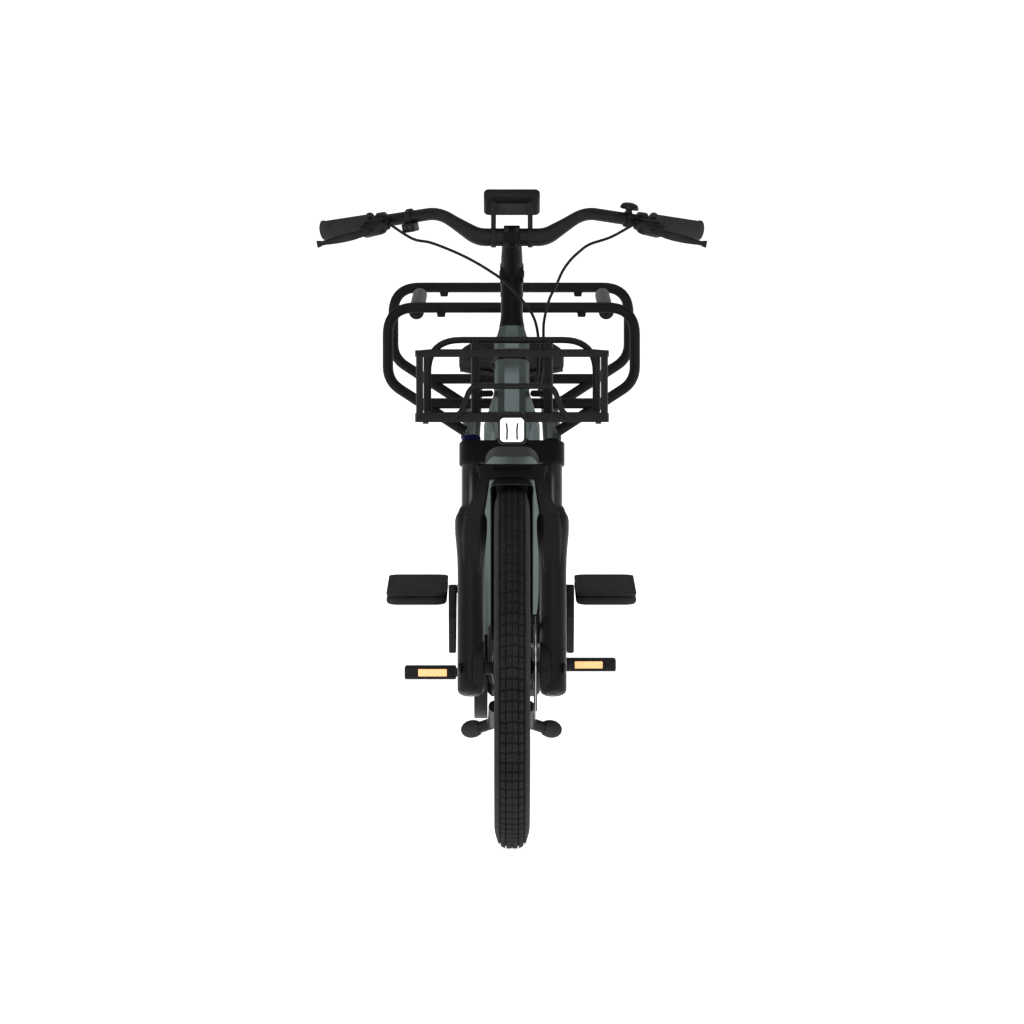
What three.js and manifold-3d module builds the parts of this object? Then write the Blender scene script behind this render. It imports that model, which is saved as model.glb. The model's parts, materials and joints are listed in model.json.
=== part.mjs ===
// Long-tail cargo bicycle with a front basket, a suspension fork, a mid motor and a rear carrier.
// Millimetres, +Z up, the bicycle faces -Y and +X is its left side.
// Everything is drawn with y = 0 at the front axle and z = 0 on the ground.
import * as THREE from "three";
import { mergeVertices } from "three/addons/utils/BufferGeometryUtils.js";
import Module from "manifold-3d";

const wasm = await Module();
wasm.setup();

// ---------------------------------------------------------------- driving dimensions

const GAP = 0.3; // left between pieces that touch
const LENGTH_MIDDLE = 711; // y of the middle of the whole length

const WHEELBASE = 1330;
const TYRE_RADIUS = 315.5;
const MUDGUARD_RADIUS = 327.5; // inner face
const MUDGUARD_THICKNESS = 3;
const TYRE_WIDTH = 62;
const TREAD_FLAT = 30; // the tyre's flattened crown
const BEAD_RADIUS = 259;
const WHEEL_SIDES = 40;
const SPOKES = 20;
const ROTOR_RADIUS = 90;
const ROTOR_X = 41;

const HEAD_LEAN = THREE.MathUtils.degToRad(20); // steering axis, back from upright
const FORK_OFFSET = 45; // axle ahead of the steering axis
const LEG_OFFSET = 28; // fork legs ahead of the steering axis
const LEG_X = 72;
const LEG_RADIUS = 23.5;
const STANCHION_RADIUS = 17;
const CROWN_LOW = 371; // heights along the steering axis, from beside the axle
const CROWN_HIGH = 412;
const CROWN_OPENING = { half: 47, high: 400, corner: 27 }; // lets the mudguard rise between the legs
const ARCH = { rear: -50, depth: 16 }; // the fork arch, ahead of the steering axis
const HEAD_LOW = 424;
const HEAD_HIGH = 631;
const HEAD_WIDTH = 62;

const BOTTOM_BRACKET = { y: 700, z: 235 };
const CRANK_LENGTH = 165;
const CRANK_LIFT = THREE.MathUtils.degToRad(4); // the right-hand pedal is forward and a little up
const PEDAL_X = 147;
const PEDAL_TILT = THREE.MathUtils.degToRad(5.5); // the pedals hang with their front edges up

const SEAT_TUBE_LOW = { y: 742, z: 336 };
const SEAT_TUBE_HIGH = { y: 862, z: 604 };
const SEATPOST_RADIUS = 15.8;
const SEATPOST_TOP = 752; // height of the saddle clamp
const SADDLE_TOP = 819;

const HOOP_FRONT_Y = 1075;
const HOOP_REAR_Y = 1727;
const HOOP_RADIUS = 10;
const HOOP_HALF_WIDTH = 234;
const HOOP_TOP = 880;
const DECK_HEIGHT = 698; // centres of the carrier's cross bars
const RAIL_X = 84;
const RAIL_HEIGHT = 632;
const RAIL_RADIUS = 11;
const UPPER_RAIL_X = 66;
const UPPER_RAIL_RADIUS = 9;
const CARRY_BAR_X = 180;
const CARRY_BAR_HEIGHT = 871;

const BASKET = {
  frontY: -40,
  depth: 210,
  bottomZ: 757,
  height: 111,
  frontHalf: 163,
  rearHalf: 142,
  tilt: THREE.MathUtils.degToRad(3.3),
};

const LIGHT = { front: -60, rear: 58, bottom: 711, top: 768 };

const BAR_CLAMP = { y: 250, z: 1055.5 };
const DISPLAY_TILT = THREE.MathUtils.degToRad(38); // the screen faces up and back to the rider
const BAR_PEAK = new THREE.Vector3(148, 256, 1096);
const BAR_END = new THREE.Vector3(334, 341, 1063.5);

const FOOTREST = { inner: 122, outer: 237, front: 1000, rear: 1360, top: 344, thick: 23.5 };
const STAND_PIVOT = { y: 790, z: 152 };

// ---------------------------------------------------------------- materials

const paint = (colour, roughness, metalness) =>
  new THREE.MeshStandardMaterial({ color: colour, roughness, metalness });
const framePaint = () => paint(0x2c3330, 0.35, 0.6);
const blackPaint = () => paint(0x2a2b2b, 0.55, 0.3);
const blackPlastic = () => paint(0x1c1c1d, 0.6, 0);
const rubber = () => paint(0x202021, 0.85, 0);
const foam = () => paint(0x4c4c4c, 0.95, 0);
const bareSteel = () => paint(0x8b8d90, 0.35, 0.9);
const blackAlloy = () => paint(0x18191a, 0.4, 0.7);
const clearLens = () => paint(0xf2f4f5, 0.1, 0);
const redLens = () => paint(0x8c1512, 0.2, 0);
const darkBlue = () => paint(0x23264a, 0.4, 0.4);

// ---------------------------------------------------------------- solids, joins and cuts

function solidOf(geometry) {
  const bare = geometry.index ? geometry.toNonIndexed() : geometry.clone();
  bare.deleteAttribute("normal");
  bare.deleteAttribute("uv");
  const merged = mergeVertices(bare, 1e-3);
  const corners = new Uint32Array(merged.index.array);
  const make = () =>
    new wasm.Manifold(
      new wasm.Mesh({
        numProp: 3,
        vertProperties: merged.attributes.position.array,
        triVerts: corners,
      }),
    );
  const made = make();
  if (made.volume() > 0) return made;
  for (let i = 0; i < corners.length; i += 3) {
    [corners[i + 1], corners[i + 2]] = [corners[i + 2], corners[i + 1]];
  }
  return make();
}

function geometryOf(solid) {
  const mesh = solid.getMesh();
  const stride = mesh.numProp;
  const positions = new Float32Array(mesh.numVert * 3);
  for (let i = 0; i < mesh.numVert; i++) {
    positions.set(mesh.vertProperties.subarray(i * stride, i * stride + 3), i * 3);
  }
  const geometry = new THREE.BufferGeometry();
  geometry.setAttribute("position", new THREE.BufferAttribute(positions, 3));
  geometry.setIndex(new THREE.BufferAttribute(mesh.triVerts, 1));
  return geometry;
}

const join = (...pieces) => geometryOf(pieces.map(solidOf).reduce((a, b) => a.add(b)));
const cut = (body, ...tools) =>
  geometryOf(tools.map(solidOf).reduce((a, b) => a.subtract(b), solidOf(body)));

const move = (geometry, x, y, z) => geometry.clone().translate(x, y, z);
const mirror = (geometry) => geometry.clone().scale(-1, 1, 1);

// ---------------------------------------------------------------- shapes

const point = (x, y, z) => new THREE.Vector3(x, y, z);

// A path that ExtrudeGeometry follows from corner to corner, with no steps between them.
class CornerPath extends THREE.Curve {
  constructor(corners) {
    super();
    this.corners = corners;
  }
  getPointAt(u) {
    return this.corners[Math.round(u * (this.corners.length - 1))].clone();
  }
  getTangentAt(u) {
    const last = this.corners.length - 1;
    const i = Math.round(u * last);
    const before = this.corners[Math.max(i - 1, 0)];
    const here = this.corners[i];
    const after = this.corners[Math.min(i + 1, last)];
    const arriving = here.clone().sub(before).normalize();
    const leaving = after.clone().sub(here).normalize();
    return arriving.add(leaving).normalize();
  }
  getSpacedPoints(divisions) {
    return Array.from({ length: divisions + 1 }, (_, i) => this.getPointAt(i / divisions));
  }
}

// The corners of a tube bent through the given points, each inner one rounded to the bend radius.
function bend(points, radius, steps = 4) {
  const corners = [points[0]];
  for (let i = 1; i < points.length - 1; i++) {
    const back = points[i - 1].clone().sub(points[i]);
    const ahead = points[i + 1].clone().sub(points[i]);
    const turn = Math.PI - back.angleTo(ahead);
    const reach = Math.min(radius * Math.tan(turn / 2), back.length() / 2.05, ahead.length() / 2.05);
    const from = points[i].clone().add(back.setLength(reach));
    const to = points[i].clone().add(ahead.setLength(reach));
    const curve = new THREE.QuadraticBezierCurve3(from, points[i], to);
    corners.push(...curve.getPoints(steps));
  }
  corners.push(points.at(-1));
  return corners;
}

function sweep(shape, corners) {
  return new THREE.ExtrudeGeometry(shape, {
    steps: corners.length - 1,
    extrudePath: new CornerPath(corners),
  });
}

function disc(radius, sides) {
  const around = Array.from({ length: sides }, (_, i) => {
    const angle = (2 * Math.PI * (i + 0.5)) / sides;
    return new THREE.Vector2(radius * Math.cos(angle), radius * Math.sin(angle));
  });
  return new THREE.Shape(around);
}

const tube = (corners, radius, sides = 8) => sweep(disc(radius, sides), corners);

const outline = (pairs) => new THREE.Shape(pairs.map(([x, y]) => new THREE.Vector2(x, y)));

// An outline drawn in y and z, made solid from x0 to x1.
function slab(shape, x0, x1, bevel = 0) {
  const geometry = new THREE.ExtrudeGeometry(shape, {
    depth: x1 - x0 - 2 * bevel,
    bevelEnabled: bevel > 0,
    bevelThickness: bevel,
    bevelSize: bevel,
    bevelOffset: -bevel,
    bevelSegments: 1,
    curveSegments: 8,
  });
  const turned = new THREE.Matrix4().makeBasis(point(0, 1, 0), point(0, 0, 1), point(1, 0, 0));
  return geometry.applyMatrix4(turned).translate(x0 + bevel, 0, 0);
}

function box(x0, x1, y0, y1, z0, z1) {
  const geometry = new THREE.BoxGeometry(x1 - x0, y1 - y0, z1 - z0);
  return geometry.translate((x0 + x1) / 2, (y0 + y1) / 2, (z0 + z1) / 2);
}

function rod(from, to, radius, sides = 12) {
  return tube([from, to], radius, sides);
}

// A profile of [radius, x] pairs turned round the X axis.
function turned(profile, sides) {
  const points = profile.map(([radius, x]) => new THREE.Vector2(radius, x));
  return new THREE.LatheGeometry(points, sides).rotateZ(-Math.PI / 2);
}

function roundedRectangle(halfWidth, halfHeight, radius) {
  const shape = new THREE.Shape();
  shape.moveTo(radius - halfWidth, -halfHeight);
  shape.lineTo(halfWidth - radius, -halfHeight);
  shape.absarc(halfWidth - radius, radius - halfHeight, radius, -Math.PI / 2, 0);
  shape.absarc(halfWidth - radius, halfHeight - radius, radius, 0, Math.PI / 2);
  shape.absarc(radius - halfWidth, halfHeight - radius, radius, Math.PI / 2, Math.PI);
  shape.absarc(radius - halfWidth, radius - halfHeight, radius, Math.PI, 1.5 * Math.PI);
  return shape;
}

// ---------------------------------------------------------------- the object and its groups

const bicycle = new THREE.Group();
bicycle.name = "cargo_bicycle";
bicycle.position.y = -LENGTH_MIDDLE;

function add(parent, name, geometry, material) {
  const mesh = new THREE.Mesh(geometryOf(solidOf(geometry)), material);
  mesh.name = name;
  parent.add(mesh);
}

function addPair(parent, name, leftGeometry, material) {
  add(parent, name + "_left", leftGeometry, material());
  add(parent, name + "_right", mirror(leftGeometry), material());
}

// The steering group's own z runs up the steering axis, from the point beside the front axle.
const steering = new THREE.Group();
steering.position.set(
  0,
  FORK_OFFSET * Math.cos(HEAD_LEAN),
  TYRE_RADIUS - FORK_OFFSET * Math.sin(HEAD_LEAN),
);
steering.rotation.x = -HEAD_LEAN;
bicycle.add(steering);
steering.updateMatrix();

const onSteering = (height) => point(0, 0, height).applyMatrix4(steering.matrix);

const basket = new THREE.Group();
basket.position.set(0, BASKET.frontY, BASKET.bottomZ);
basket.rotation.x = -BASKET.tilt;
bicycle.add(basket);

// ---------------------------------------------------------------- wheels

// The tyre's corners lie further out than its flats, and the flats are at the true radius.
const CORNER_RADIUS = TYRE_RADIUS / Math.cos(Math.PI / WHEEL_SIDES);

const tyreProfile = [
  [BEAD_RADIUS + 0.5, -14],
  [BEAD_RADIUS + 20, -TYRE_WIDTH / 2],
  [BEAD_RADIUS + 38, -TYRE_WIDTH / 2],
  [CORNER_RADIUS - 6, -TYRE_WIDTH / 2 + 8],
  [CORNER_RADIUS, -TREAD_FLAT / 2],
  [CORNER_RADIUS, TREAD_FLAT / 2],
  [CORNER_RADIUS - 6, TYRE_WIDTH / 2 - 8],
  [BEAD_RADIUS + 38, TYRE_WIDTH / 2],
  [BEAD_RADIUS + 20, TYRE_WIDTH / 2],
  [BEAD_RADIUS + 0.5, 14],
  [BEAD_RADIUS + 0.5, -14],
];

const rimProfile = [
  [BEAD_RADIUS, -17],
  [BEAD_RADIUS - 12, -17],
  [BEAD_RADIUS - 27, -6],
  [BEAD_RADIUS - 27, 6],
  [BEAD_RADIUS - 12, 17],
  [BEAD_RADIUS, 17],
  [BEAD_RADIUS, -17],
];

// The wheel's sides are turned half a step, so that it rests on a flat and not on a corner.
const restingTurn = Math.PI / WHEEL_SIDES;

function spokedWheel(hubRadius, flangeRadius, flangeX, axleRadius, axleEnd) {
  const hub = turned(
    [
      [0, -axleEnd],
      [axleRadius, -axleEnd],
      [axleRadius, -flangeX - 5],
      [flangeRadius, -flangeX - 3],
      [flangeRadius, -flangeX + 3],
      [hubRadius, -flangeX + 7],
      [hubRadius, flangeX - 7],
      [flangeRadius, flangeX - 3],
      [flangeRadius, flangeX + 3],
      [axleRadius, flangeX + 5],
      [axleRadius, axleEnd],
      [0, axleEnd],
    ],
    20,
  );
  const rim = turned(rimProfile, WHEEL_SIDES).rotateX(restingTurn);
  const spokes = [];
  for (let i = 0; i < SPOKES; i++) {
    const side = i % 2 ? 1 : -1;
    const lead = i % 4 < 2 ? 0.9 : -0.9; // each spoke leaves its flange sideways, on one hand or the other
    const rimAngle = (2 * Math.PI * i) / SPOKES;
    const hubAngle = rimAngle + lead;
    const hubEnd = point(
      side * flangeX,
      (flangeRadius - 3) * Math.cos(hubAngle),
      (flangeRadius - 3) * Math.sin(hubAngle),
    );
    const rimEnd = point(
      side * 2,
      (BEAD_RADIUS - 24) * Math.cos(rimAngle),
      (BEAD_RADIUS - 24) * Math.sin(rimAngle),
    );
    spokes.push(rod(hubEnd, rimEnd, 1.6, 3));
  }
  return join(rim, hub, ...spokes);
}

function rotor(x, boltRadius) {
  const plate = turned(
    [
      [boltRadius, x - 0.9],
      [ROTOR_RADIUS, x - 0.9],
      [ROTOR_RADIUS, x + 0.9],
      [boltRadius, x + 0.9],
      [boltRadius, x - 0.9],
    ],
    32,
  );
  const windows = [];
  for (let i = 0; i < 6; i++) {
    const window = box(x - 3, x + 3, boltRadius + 16, ROTOR_RADIUS - 16, -14, 14);
    windows.push(window.rotateX((Math.PI * i) / 3));
  }
  return cut(plate, ...windows);
}

const tyre = turned(tyreProfile, WHEEL_SIDES).rotateX(restingTurn);
const frontHub = { y: 0, z: TYRE_RADIUS };
const rearHub = { y: WHEELBASE, z: TYRE_RADIUS };
const FRONT_AXLE_END = 48;
const REAR_AXLE_END = 73.7;

add(bicycle, "front_tyre", move(tyre, 0, frontHub.y, frontHub.z), rubber());
add(bicycle, "rear_tyre", move(tyre, 0, rearHub.y, rearHub.z), rubber());
add(
  bicycle,
  "front_wheel",
  move(spokedWheel(16, 29, 30, 11, FRONT_AXLE_END), 0, frontHub.y, frontHub.z),
  blackAlloy(),
);
add(
  bicycle,
  "rear_wheel",
  move(spokedWheel(46, 56, 30, 15, REAR_AXLE_END), 0, rearHub.y, rearHub.z),
  blackAlloy(),
);
add(
  bicycle,
  "front_brake_rotor",
  move(rotor(ROTOR_X, 11.4), 0, frontHub.y, frontHub.z),
  bareSteel(),
);

// ---------------------------------------------------------------- fork

// The arched opening under the crown, as a solid that runs right through it.
function crownOpening() {
  const { half, high, corner } = CROWN_OPENING;
  const shape = new THREE.Shape();
  shape.moveTo(-half, CROWN_LOW - 1);
  shape.lineTo(half, CROWN_LOW - 1);
  shape.absarc(half - corner, high - corner, corner, 0, Math.PI / 2);
  shape.absarc(corner - half, high - corner, corner, Math.PI / 2, Math.PI);
  const prism = new THREE.ExtrudeGeometry(shape, { depth: 100, bevelEnabled: false, curveSegments: 6 });
  return prism.rotateX(Math.PI / 2).translate(0, 40, 0);
}

function forkCrown() {
  const plan = new THREE.Shape();
  plan.moveTo(-LEG_X, -LEG_OFFSET - 21);
  plan.lineTo(LEG_X, -LEG_OFFSET - 21);
  plan.absarc(LEG_X, -LEG_OFFSET, 21, -Math.PI / 2, Math.PI / 2);
  plan.lineTo(30, 24);
  plan.lineTo(-30, 24);
  plan.absarc(-LEG_X, -LEG_OFFSET, 21, Math.PI / 2, 1.5 * Math.PI);
  const block = new THREE.ExtrudeGeometry(plan, {
    depth: CROWN_HIGH - CROWN_LOW,
    bevelEnabled: false,
    curveSegments: 8,
  });
  const steerer = rod(point(0, 0, CROWN_HIGH - 5), point(0, 0, HEAD_HIGH + 8), 14);
  const lowerCup = rod(point(0, 0, CROWN_HIGH - 1), point(0, 0, HEAD_LOW - GAP), 27, 16);
  const legs = [-LEG_X, LEG_X].map((x) =>
    rod(point(x, -LEG_OFFSET, 215), point(x, -LEG_OFFSET, CROWN_LOW + 5), STANCHION_RADIUS, 20),
  );
  const bridge = cut(join(block.translate(0, 0, CROWN_LOW)), crownOpening());
  return join(bridge, steerer, lowerCup, ...legs);
}

function forkLowers() {
  const pieces = [];
  const bores = [];
  for (const x of [-LEG_X, LEG_X]) {
    const side = Math.sign(x);
    pieces.push(rod(point(x, -LEG_OFFSET, -44), point(x, -LEG_OFFSET, 266), LEG_RADIUS, 20));
    pieces.push(rod(point(x, -LEG_OFFSET, 252), point(x, -LEG_OFFSET, 290), 28, 20));
    const lug = [side * (FRONT_AXLE_END + GAP), side * 88].sort((a, b) => a - b);
    pieces.push(box(lug[0], lug[1], -64, -LEG_OFFSET, -24, 26));
    bores.push(
      rod(point(x, -LEG_OFFSET, 160), point(x, -LEG_OFFSET, 310), STANCHION_RADIUS + 0.4, 20),
    );
  }
  const half = [
    [86, 258],
    [74, 290],
    [57, 340],
    [60, 364],
  ];
  const inner = [
    [38.8, 337],
    [40, 328],
    [46, 290],
    [52, 258],
  ];
  const flip = ([x, z]) => [-x, z];
  const shape = outline([
    ...half,
    ...half.map(flip).reverse(),
    ...inner.map(flip).reverse(),
    ...inner,
  ]);
  const arch = new THREE.ExtrudeGeometry(shape, { depth: ARCH.depth, bevelEnabled: false });
  arch.rotateX(Math.PI / 2).translate(0, ARCH.rear, 0);
  return cut(join(...pieces, arch), ...bores);
}

// A band round the top of a wheel: a flat crown with two sloping sides.
function mudguard(centre, fromDegrees, toDegrees) {
  const inner = MUDGUARD_RADIUS;
  const steps = Math.round((toDegrees - fromDegrees) / 7.5);
  const corners = [];
  for (let i = 0; i <= steps; i++) {
    const angle = THREE.MathUtils.degToRad(fromDegrees + ((toDegrees - fromDegrees) * i) / steps);
    // 0 degrees points back along the ground and 90 points up
    corners.push(point(0, centre.y + inner * Math.cos(angle), centre.z + inner * Math.sin(angle)));
  }
  const section = outline([
    [-26, 0],
    [26, 0],
    [34, -9],
    [35.5, -22],
    [38, -22],
    [36.5, -8],
    [27, MUDGUARD_THICKNESS],
    [-27, MUDGUARD_THICKNESS],
    [-36.5, -8],
    [-38, -22],
    [-35.5, -22],
    [-34, -9],
  ]);
  return sweep(section, corners.reverse());
}

add(steering, "fork_crown", forkCrown(), blackAlloy());
add(steering, "fork_lowers", forkLowers(), blackPaint());
add(bicycle, "front_mudguard", mudguard(frontHub, 2, 98), blackPlastic());
add(bicycle, "rear_mudguard", mudguard(rearHub, 18, 158), blackPlastic());
add(
  steering,
  "fork_lockout_knob",
  rod(point(-LEG_X, -LEG_OFFSET, CROWN_HIGH + GAP), point(-LEG_X, -LEG_OFFSET, CROWN_HIGH + 14), 17, 18),
  darkBlue(),
);

// The caliper straddles the rotor behind the left leg.
function frontCaliper() {
  const body = box(32, 56, 0, 34, 56, 108);
  const slot = box(ROTOR_X - 2.4, ROTOR_X + 2.4, -10, 44, 40, 92);
  const bracket = box(50, LEG_X - 4, -4, 16, 66, 98);
  return join(cut(body, slot), bracket);
}

add(steering, "front_brake_caliper", frontCaliper(), blackAlloy());

// ---------------------------------------------------------------- frame

function headTube() {
  const half = HEAD_WIDTH / 2;
  const section = outline([
    [-13, -half + 1],
    [13, -half + 1],
    [half - 6, -half + 9],
    [half, -8],
    [half, 18],
    [20, half],
    [-20, half],
    [-half, 18],
    [-half, -8],
    [-half + 6, -half + 9],
  ]);
  section.holes.push(new THREE.Path(disc(19, 16).getPoints().reverse()));
  const barrel = new THREE.ExtrudeGeometry(section, {
    depth: HEAD_HIGH - HEAD_LOW,
    bevelEnabled: false,
  });
  return barrel.translate(0, 0, HEAD_LOW);
}

add(steering, "head_tube", headTube(), framePaint());

// A box-like tube running down the middle, drawn along its own length and then tilted into place.
function beam(from, to, halfOutline, depth, bevel) {
  const run = Math.hypot(to.y - from.y, to.z - from.z);
  const shape = outline([
    ...halfOutline.map(([x, share]) => [x, -share * run]),
    ...halfOutline.map(([x, share]) => [-x, -share * run]).reverse(),
  ]);
  const geometry = new THREE.ExtrudeGeometry(shape, {
    depth: depth - 2 * bevel,
    bevelEnabled: bevel > 0,
    bevelThickness: bevel,
    bevelSize: bevel,
    bevelOffset: -bevel,
    bevelSegments: 2,
  });
  geometry.translate(0, 0, bevel - depth / 2);
  const lean = Math.atan2(from.z - to.z, to.y - from.y);
  geometry.rotateX(Math.PI);
  geometry.rotateX(-lean);
  return geometry.translate(0, from.y, from.z);
}

const DOWN_TUBE_TOP = { y: 240, z: 760 };
const DOWN_TUBE_FOOT = { y: 612, z: 336 };
const DOWN_TUBE_DEPTH = 92;

function downTube() {
  const shell = beam(
    DOWN_TUBE_TOP,
    DOWN_TUBE_FOOT,
    [
      [30, 0],
      [50, 0.16],
      [52, 0.3],
      [52, 1],
    ],
    DOWN_TUBE_DEPTH,
    12,
  );
  const pocket = beam(
    { y: 322, z: 686 },
    { y: 616, z: 372 },
    [
      [38, 0],
      [38, 0.97],
    ],
    80,
    0,
  );
  return cut(shell, pocket, headClearance(CROWN_HIGH - 4, HEAD_HIGH));
}

// The room that the head tube takes, in front of the frame's two main tubes.
function headClearance(low, high) {
  const rear = HEAD_WIDTH / 2 + GAP;
  return box(-80, 80, rear - 123, rear, low, high).applyMatrix4(steering.matrix);
}

function batteryPack() {
  return beam(
    { y: 323, z: 688 },
    { y: 613.5, z: 378 },
    [
      [37.5, 0.01],
      [37.5, 0.965],
    ],
    76,
    5,
  );
}

function motorHousing() {
  const side = outline([
    [590, 330],
    [600, 250],
    [626, 204],
    [664, 187],
    [750, 187],
    [786, 214],
    [794, 262],
    [794, 366],
    [758, 384],
    [736, 372],
    [722, 330],
    [664, 388],
    [650, 374],
  ]);
  const body = slab(side, -44, 52, 7);
  const axleBore = rod(
    point(-70, BOTTOM_BRACKET.y, BOTTOM_BRACKET.z),
    point(70, BOTTOM_BRACKET.y, BOTTOM_BRACKET.z),
    15,
    16,
  );
  const downTubeClear = beam(
    DOWN_TUBE_TOP,
    { y: DOWN_TUBE_FOOT.y + 0.6, z: DOWN_TUBE_FOOT.z - 0.6 },
    [
      [70, 0],
      [70, 1],
    ],
    DOWN_TUBE_DEPTH + 1,
    0,
  );
  const seatTubeClear = rod(seatPoint(-0.01), seatPoint(1), 20, 20);
  return cut(body, axleBore, downTubeClear, seatTubeClear);
}

const seatPoint = (along) =>
  point(
    0,
    SEAT_TUBE_LOW.y + along * (SEAT_TUBE_HIGH.y - SEAT_TUBE_LOW.y),
    SEAT_TUBE_LOW.z + along * (SEAT_TUBE_HIGH.z - SEAT_TUBE_LOW.z),
  );

function seatTube() {
  const outer = rod(seatPoint(0), seatPoint(1), 19.5, 20);
  const collar = rod(seatPoint(0.93), seatPoint(1), 24, 20);
  const ear = box(-9, 9, 18, 36, -9, 9)
    .rotateX(-Math.atan2(SEAT_TUBE_HIGH.y - SEAT_TUBE_LOW.y, SEAT_TUBE_HIGH.z - SEAT_TUBE_LOW.z))
    .translate(0, seatPoint(0.965).y, seatPoint(0.965).z);
  const bore = rod(seatPoint(0.02), seatPoint(1.1), SEATPOST_RADIUS + 0.4, 20);
  return cut(join(outer, collar, ear), bore);
}

function topTube() {
  const body = beam(
    { y: 250, z: 848 },
    { y: 850, z: 596 },
    [
      [23, 0],
      [23, 0.7],
      [19, 1],
    ],
    58,
    9,
  );
  const head = headClearance(HEAD_LOW, HEAD_HIGH + 20);
  const seat = rod(seatPoint(0.5), seatPoint(1.2), 24.4, 20);
  return cut(body, head, seat);
}

// One side of the rear frame: chain stay, dropout, seat stay and the carrier's two rails, welded up.
function rearFrame() {
  const stay = tube(
    bend(
      [point(40, 797, 348), point(60, 890, 372), point(82, 1000, 368), point(82, 1322, 334)],
      60,
    ),
    10,
  );
  const dropout = slab(
    outline([
      [1306, 290],
      [1352, 290],
      [1360, 330],
      [1336, 372],
      [1300, 350],
    ]),
    REAR_AXLE_END + GAP,
    82,
  );
  const seatStay = rod(point(80, 1332, 350), point(RAIL_X, 1262, RAIL_HEIGHT), 9);
  const rail = tube(
    bend(
      [
        point(22, 868, 556),
        point(60, 960, 606),
        point(RAIL_X, 1060, RAIL_HEIGHT),
        point(RAIL_X, HOOP_REAR_Y + 6, RAIL_HEIGHT),
      ],
      60,
    ),
    RAIL_RADIUS,
  );
  const upperHeight = DECK_HEIGHT - HOOP_RADIUS - GAP - UPPER_RAIL_RADIUS;
  const upperRail = tube(
    bend(
      [
        point(70, 985, 614),
        point(UPPER_RAIL_X, 1030, upperHeight),
        point(UPPER_RAIL_X, HOOP_REAR_Y + 6, upperHeight),
      ],
      40,
    ),
    UPPER_RAIL_RADIUS,
  );
  const seatClear = rod(seatPoint(0.2), seatPoint(1.4), 24.4, 20);
  return cut(join(stay, dropout, seatStay, rail, upperRail), seatClear);
}

add(bicycle, "down_tube", downTube(), framePaint());
add(bicycle, "battery_pack", batteryPack(), blackPlastic());
add(bicycle, "motor_housing", motorHousing(), blackPlastic());
add(bicycle, "seat_tube", seatTube(), framePaint());
add(bicycle, "top_tube", topTube(), framePaint());
addPair(bicycle, "rear_frame", rearFrame(), framePaint);

// ---------------------------------------------------------------- carrier hoops and hand bars

function carrierHoop(y) {
  const slope = 0.65;
  const footX = RAIL_X;
  const footHeight = DECK_HEIGHT - (170 - footX) * slope;
  const elbowHeight = DECK_HEIGHT + (HOOP_HALF_WIDTH - 170) * slope;
  const loop = tube(
    bend(
      [
        point(-footX, y, footHeight),
        point(-HOOP_HALF_WIDTH, y, elbowHeight),
        point(-HOOP_HALF_WIDTH, y, HOOP_TOP),
        point(HOOP_HALF_WIDTH, y, HOOP_TOP),
        point(HOOP_HALF_WIDTH, y, elbowHeight),
        point(footX, y, footHeight),
      ],
      52,
    ),
    HOOP_RADIUS,
  );
  const crossBar = rod(point(-168, y, DECK_HEIGHT), point(168, y, DECK_HEIGHT), HOOP_RADIUS, 10);
  const rails = [-1, 1].flatMap((side) => [
    rod(point(side * RAIL_X, y - 40, RAIL_HEIGHT), point(side * RAIL_X, y + 40, RAIL_HEIGHT), 11.5, 16),
    rod(
      point(side * UPPER_RAIL_X, y - 40, DECK_HEIGHT - 19.3),
      point(side * UPPER_RAIL_X, y + 40, DECK_HEIGHT - 19.3),
      9.4,
      16,
    ),
  ]);
  return cut(join(loop, crossBar), ...rails);
}

add(bicycle, "carrier_hoop_front", carrierHoop(HOOP_FRONT_Y), blackPaint());
add(bicycle, "carrier_hoop_rear", carrierHoop(HOOP_REAR_Y), blackPaint());

function carryBar() {
  const front = HOOP_FRONT_Y + HOOP_RADIUS + GAP + 0.2;
  const rear = HOOP_REAR_Y - HOOP_RADIUS - GAP - 0.2;
  const at = (y) => point(CARRY_BAR_X, y, CARRY_BAR_HEIGHT);
  return join(rod(at(front), at(rear), 9), rod(at(front + 4), at(rear - 90), 14, 16));
}

addPair(bicycle, "foam_hand_bar", carryBar(), foam);

add(
  bicycle,
  "tail_light",
  box(-34, 34, HOOP_REAR_Y - 22, HOOP_REAR_Y + 10, DECK_HEIGHT - 44, DECK_HEIGHT - HOOP_RADIUS - GAP),
  redLens(),
);

// ---------------------------------------------------------------- basket and headlight

const STRIP = 5; // thickness of the basket's flat bars
const sideX = (y) =>
  BASKET.frontHalf + ((BASKET.rearHalf - BASKET.frontHalf) * y) / BASKET.depth;

function basketFront() {
  const half = BASKET.frontHalf + 6;
  const top = box(-half, half, 0, STRIP, BASKET.height - 6, BASKET.height + 6);
  const bottom = box(-half, half, 0, STRIP, -8, 8);
  const posts = [-1, 1].map((side) =>
    rod(point(side * 161, 3, 0), point(side * 161, 3, BASKET.height), 5.5, 8),
  );
  const dip = tube(
    bend(
      [
        point(-101, -3, 0),
        point(-84, -3, 30),
        point(-74, -3, 54),
        point(74, -3, 54),
        point(84, -3, 30),
        point(101, -3, 0),
      ],
      26,
      4,
    ),
    5,
    8,
  );
  return join(top, bottom, dip, ...posts);
}

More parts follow.
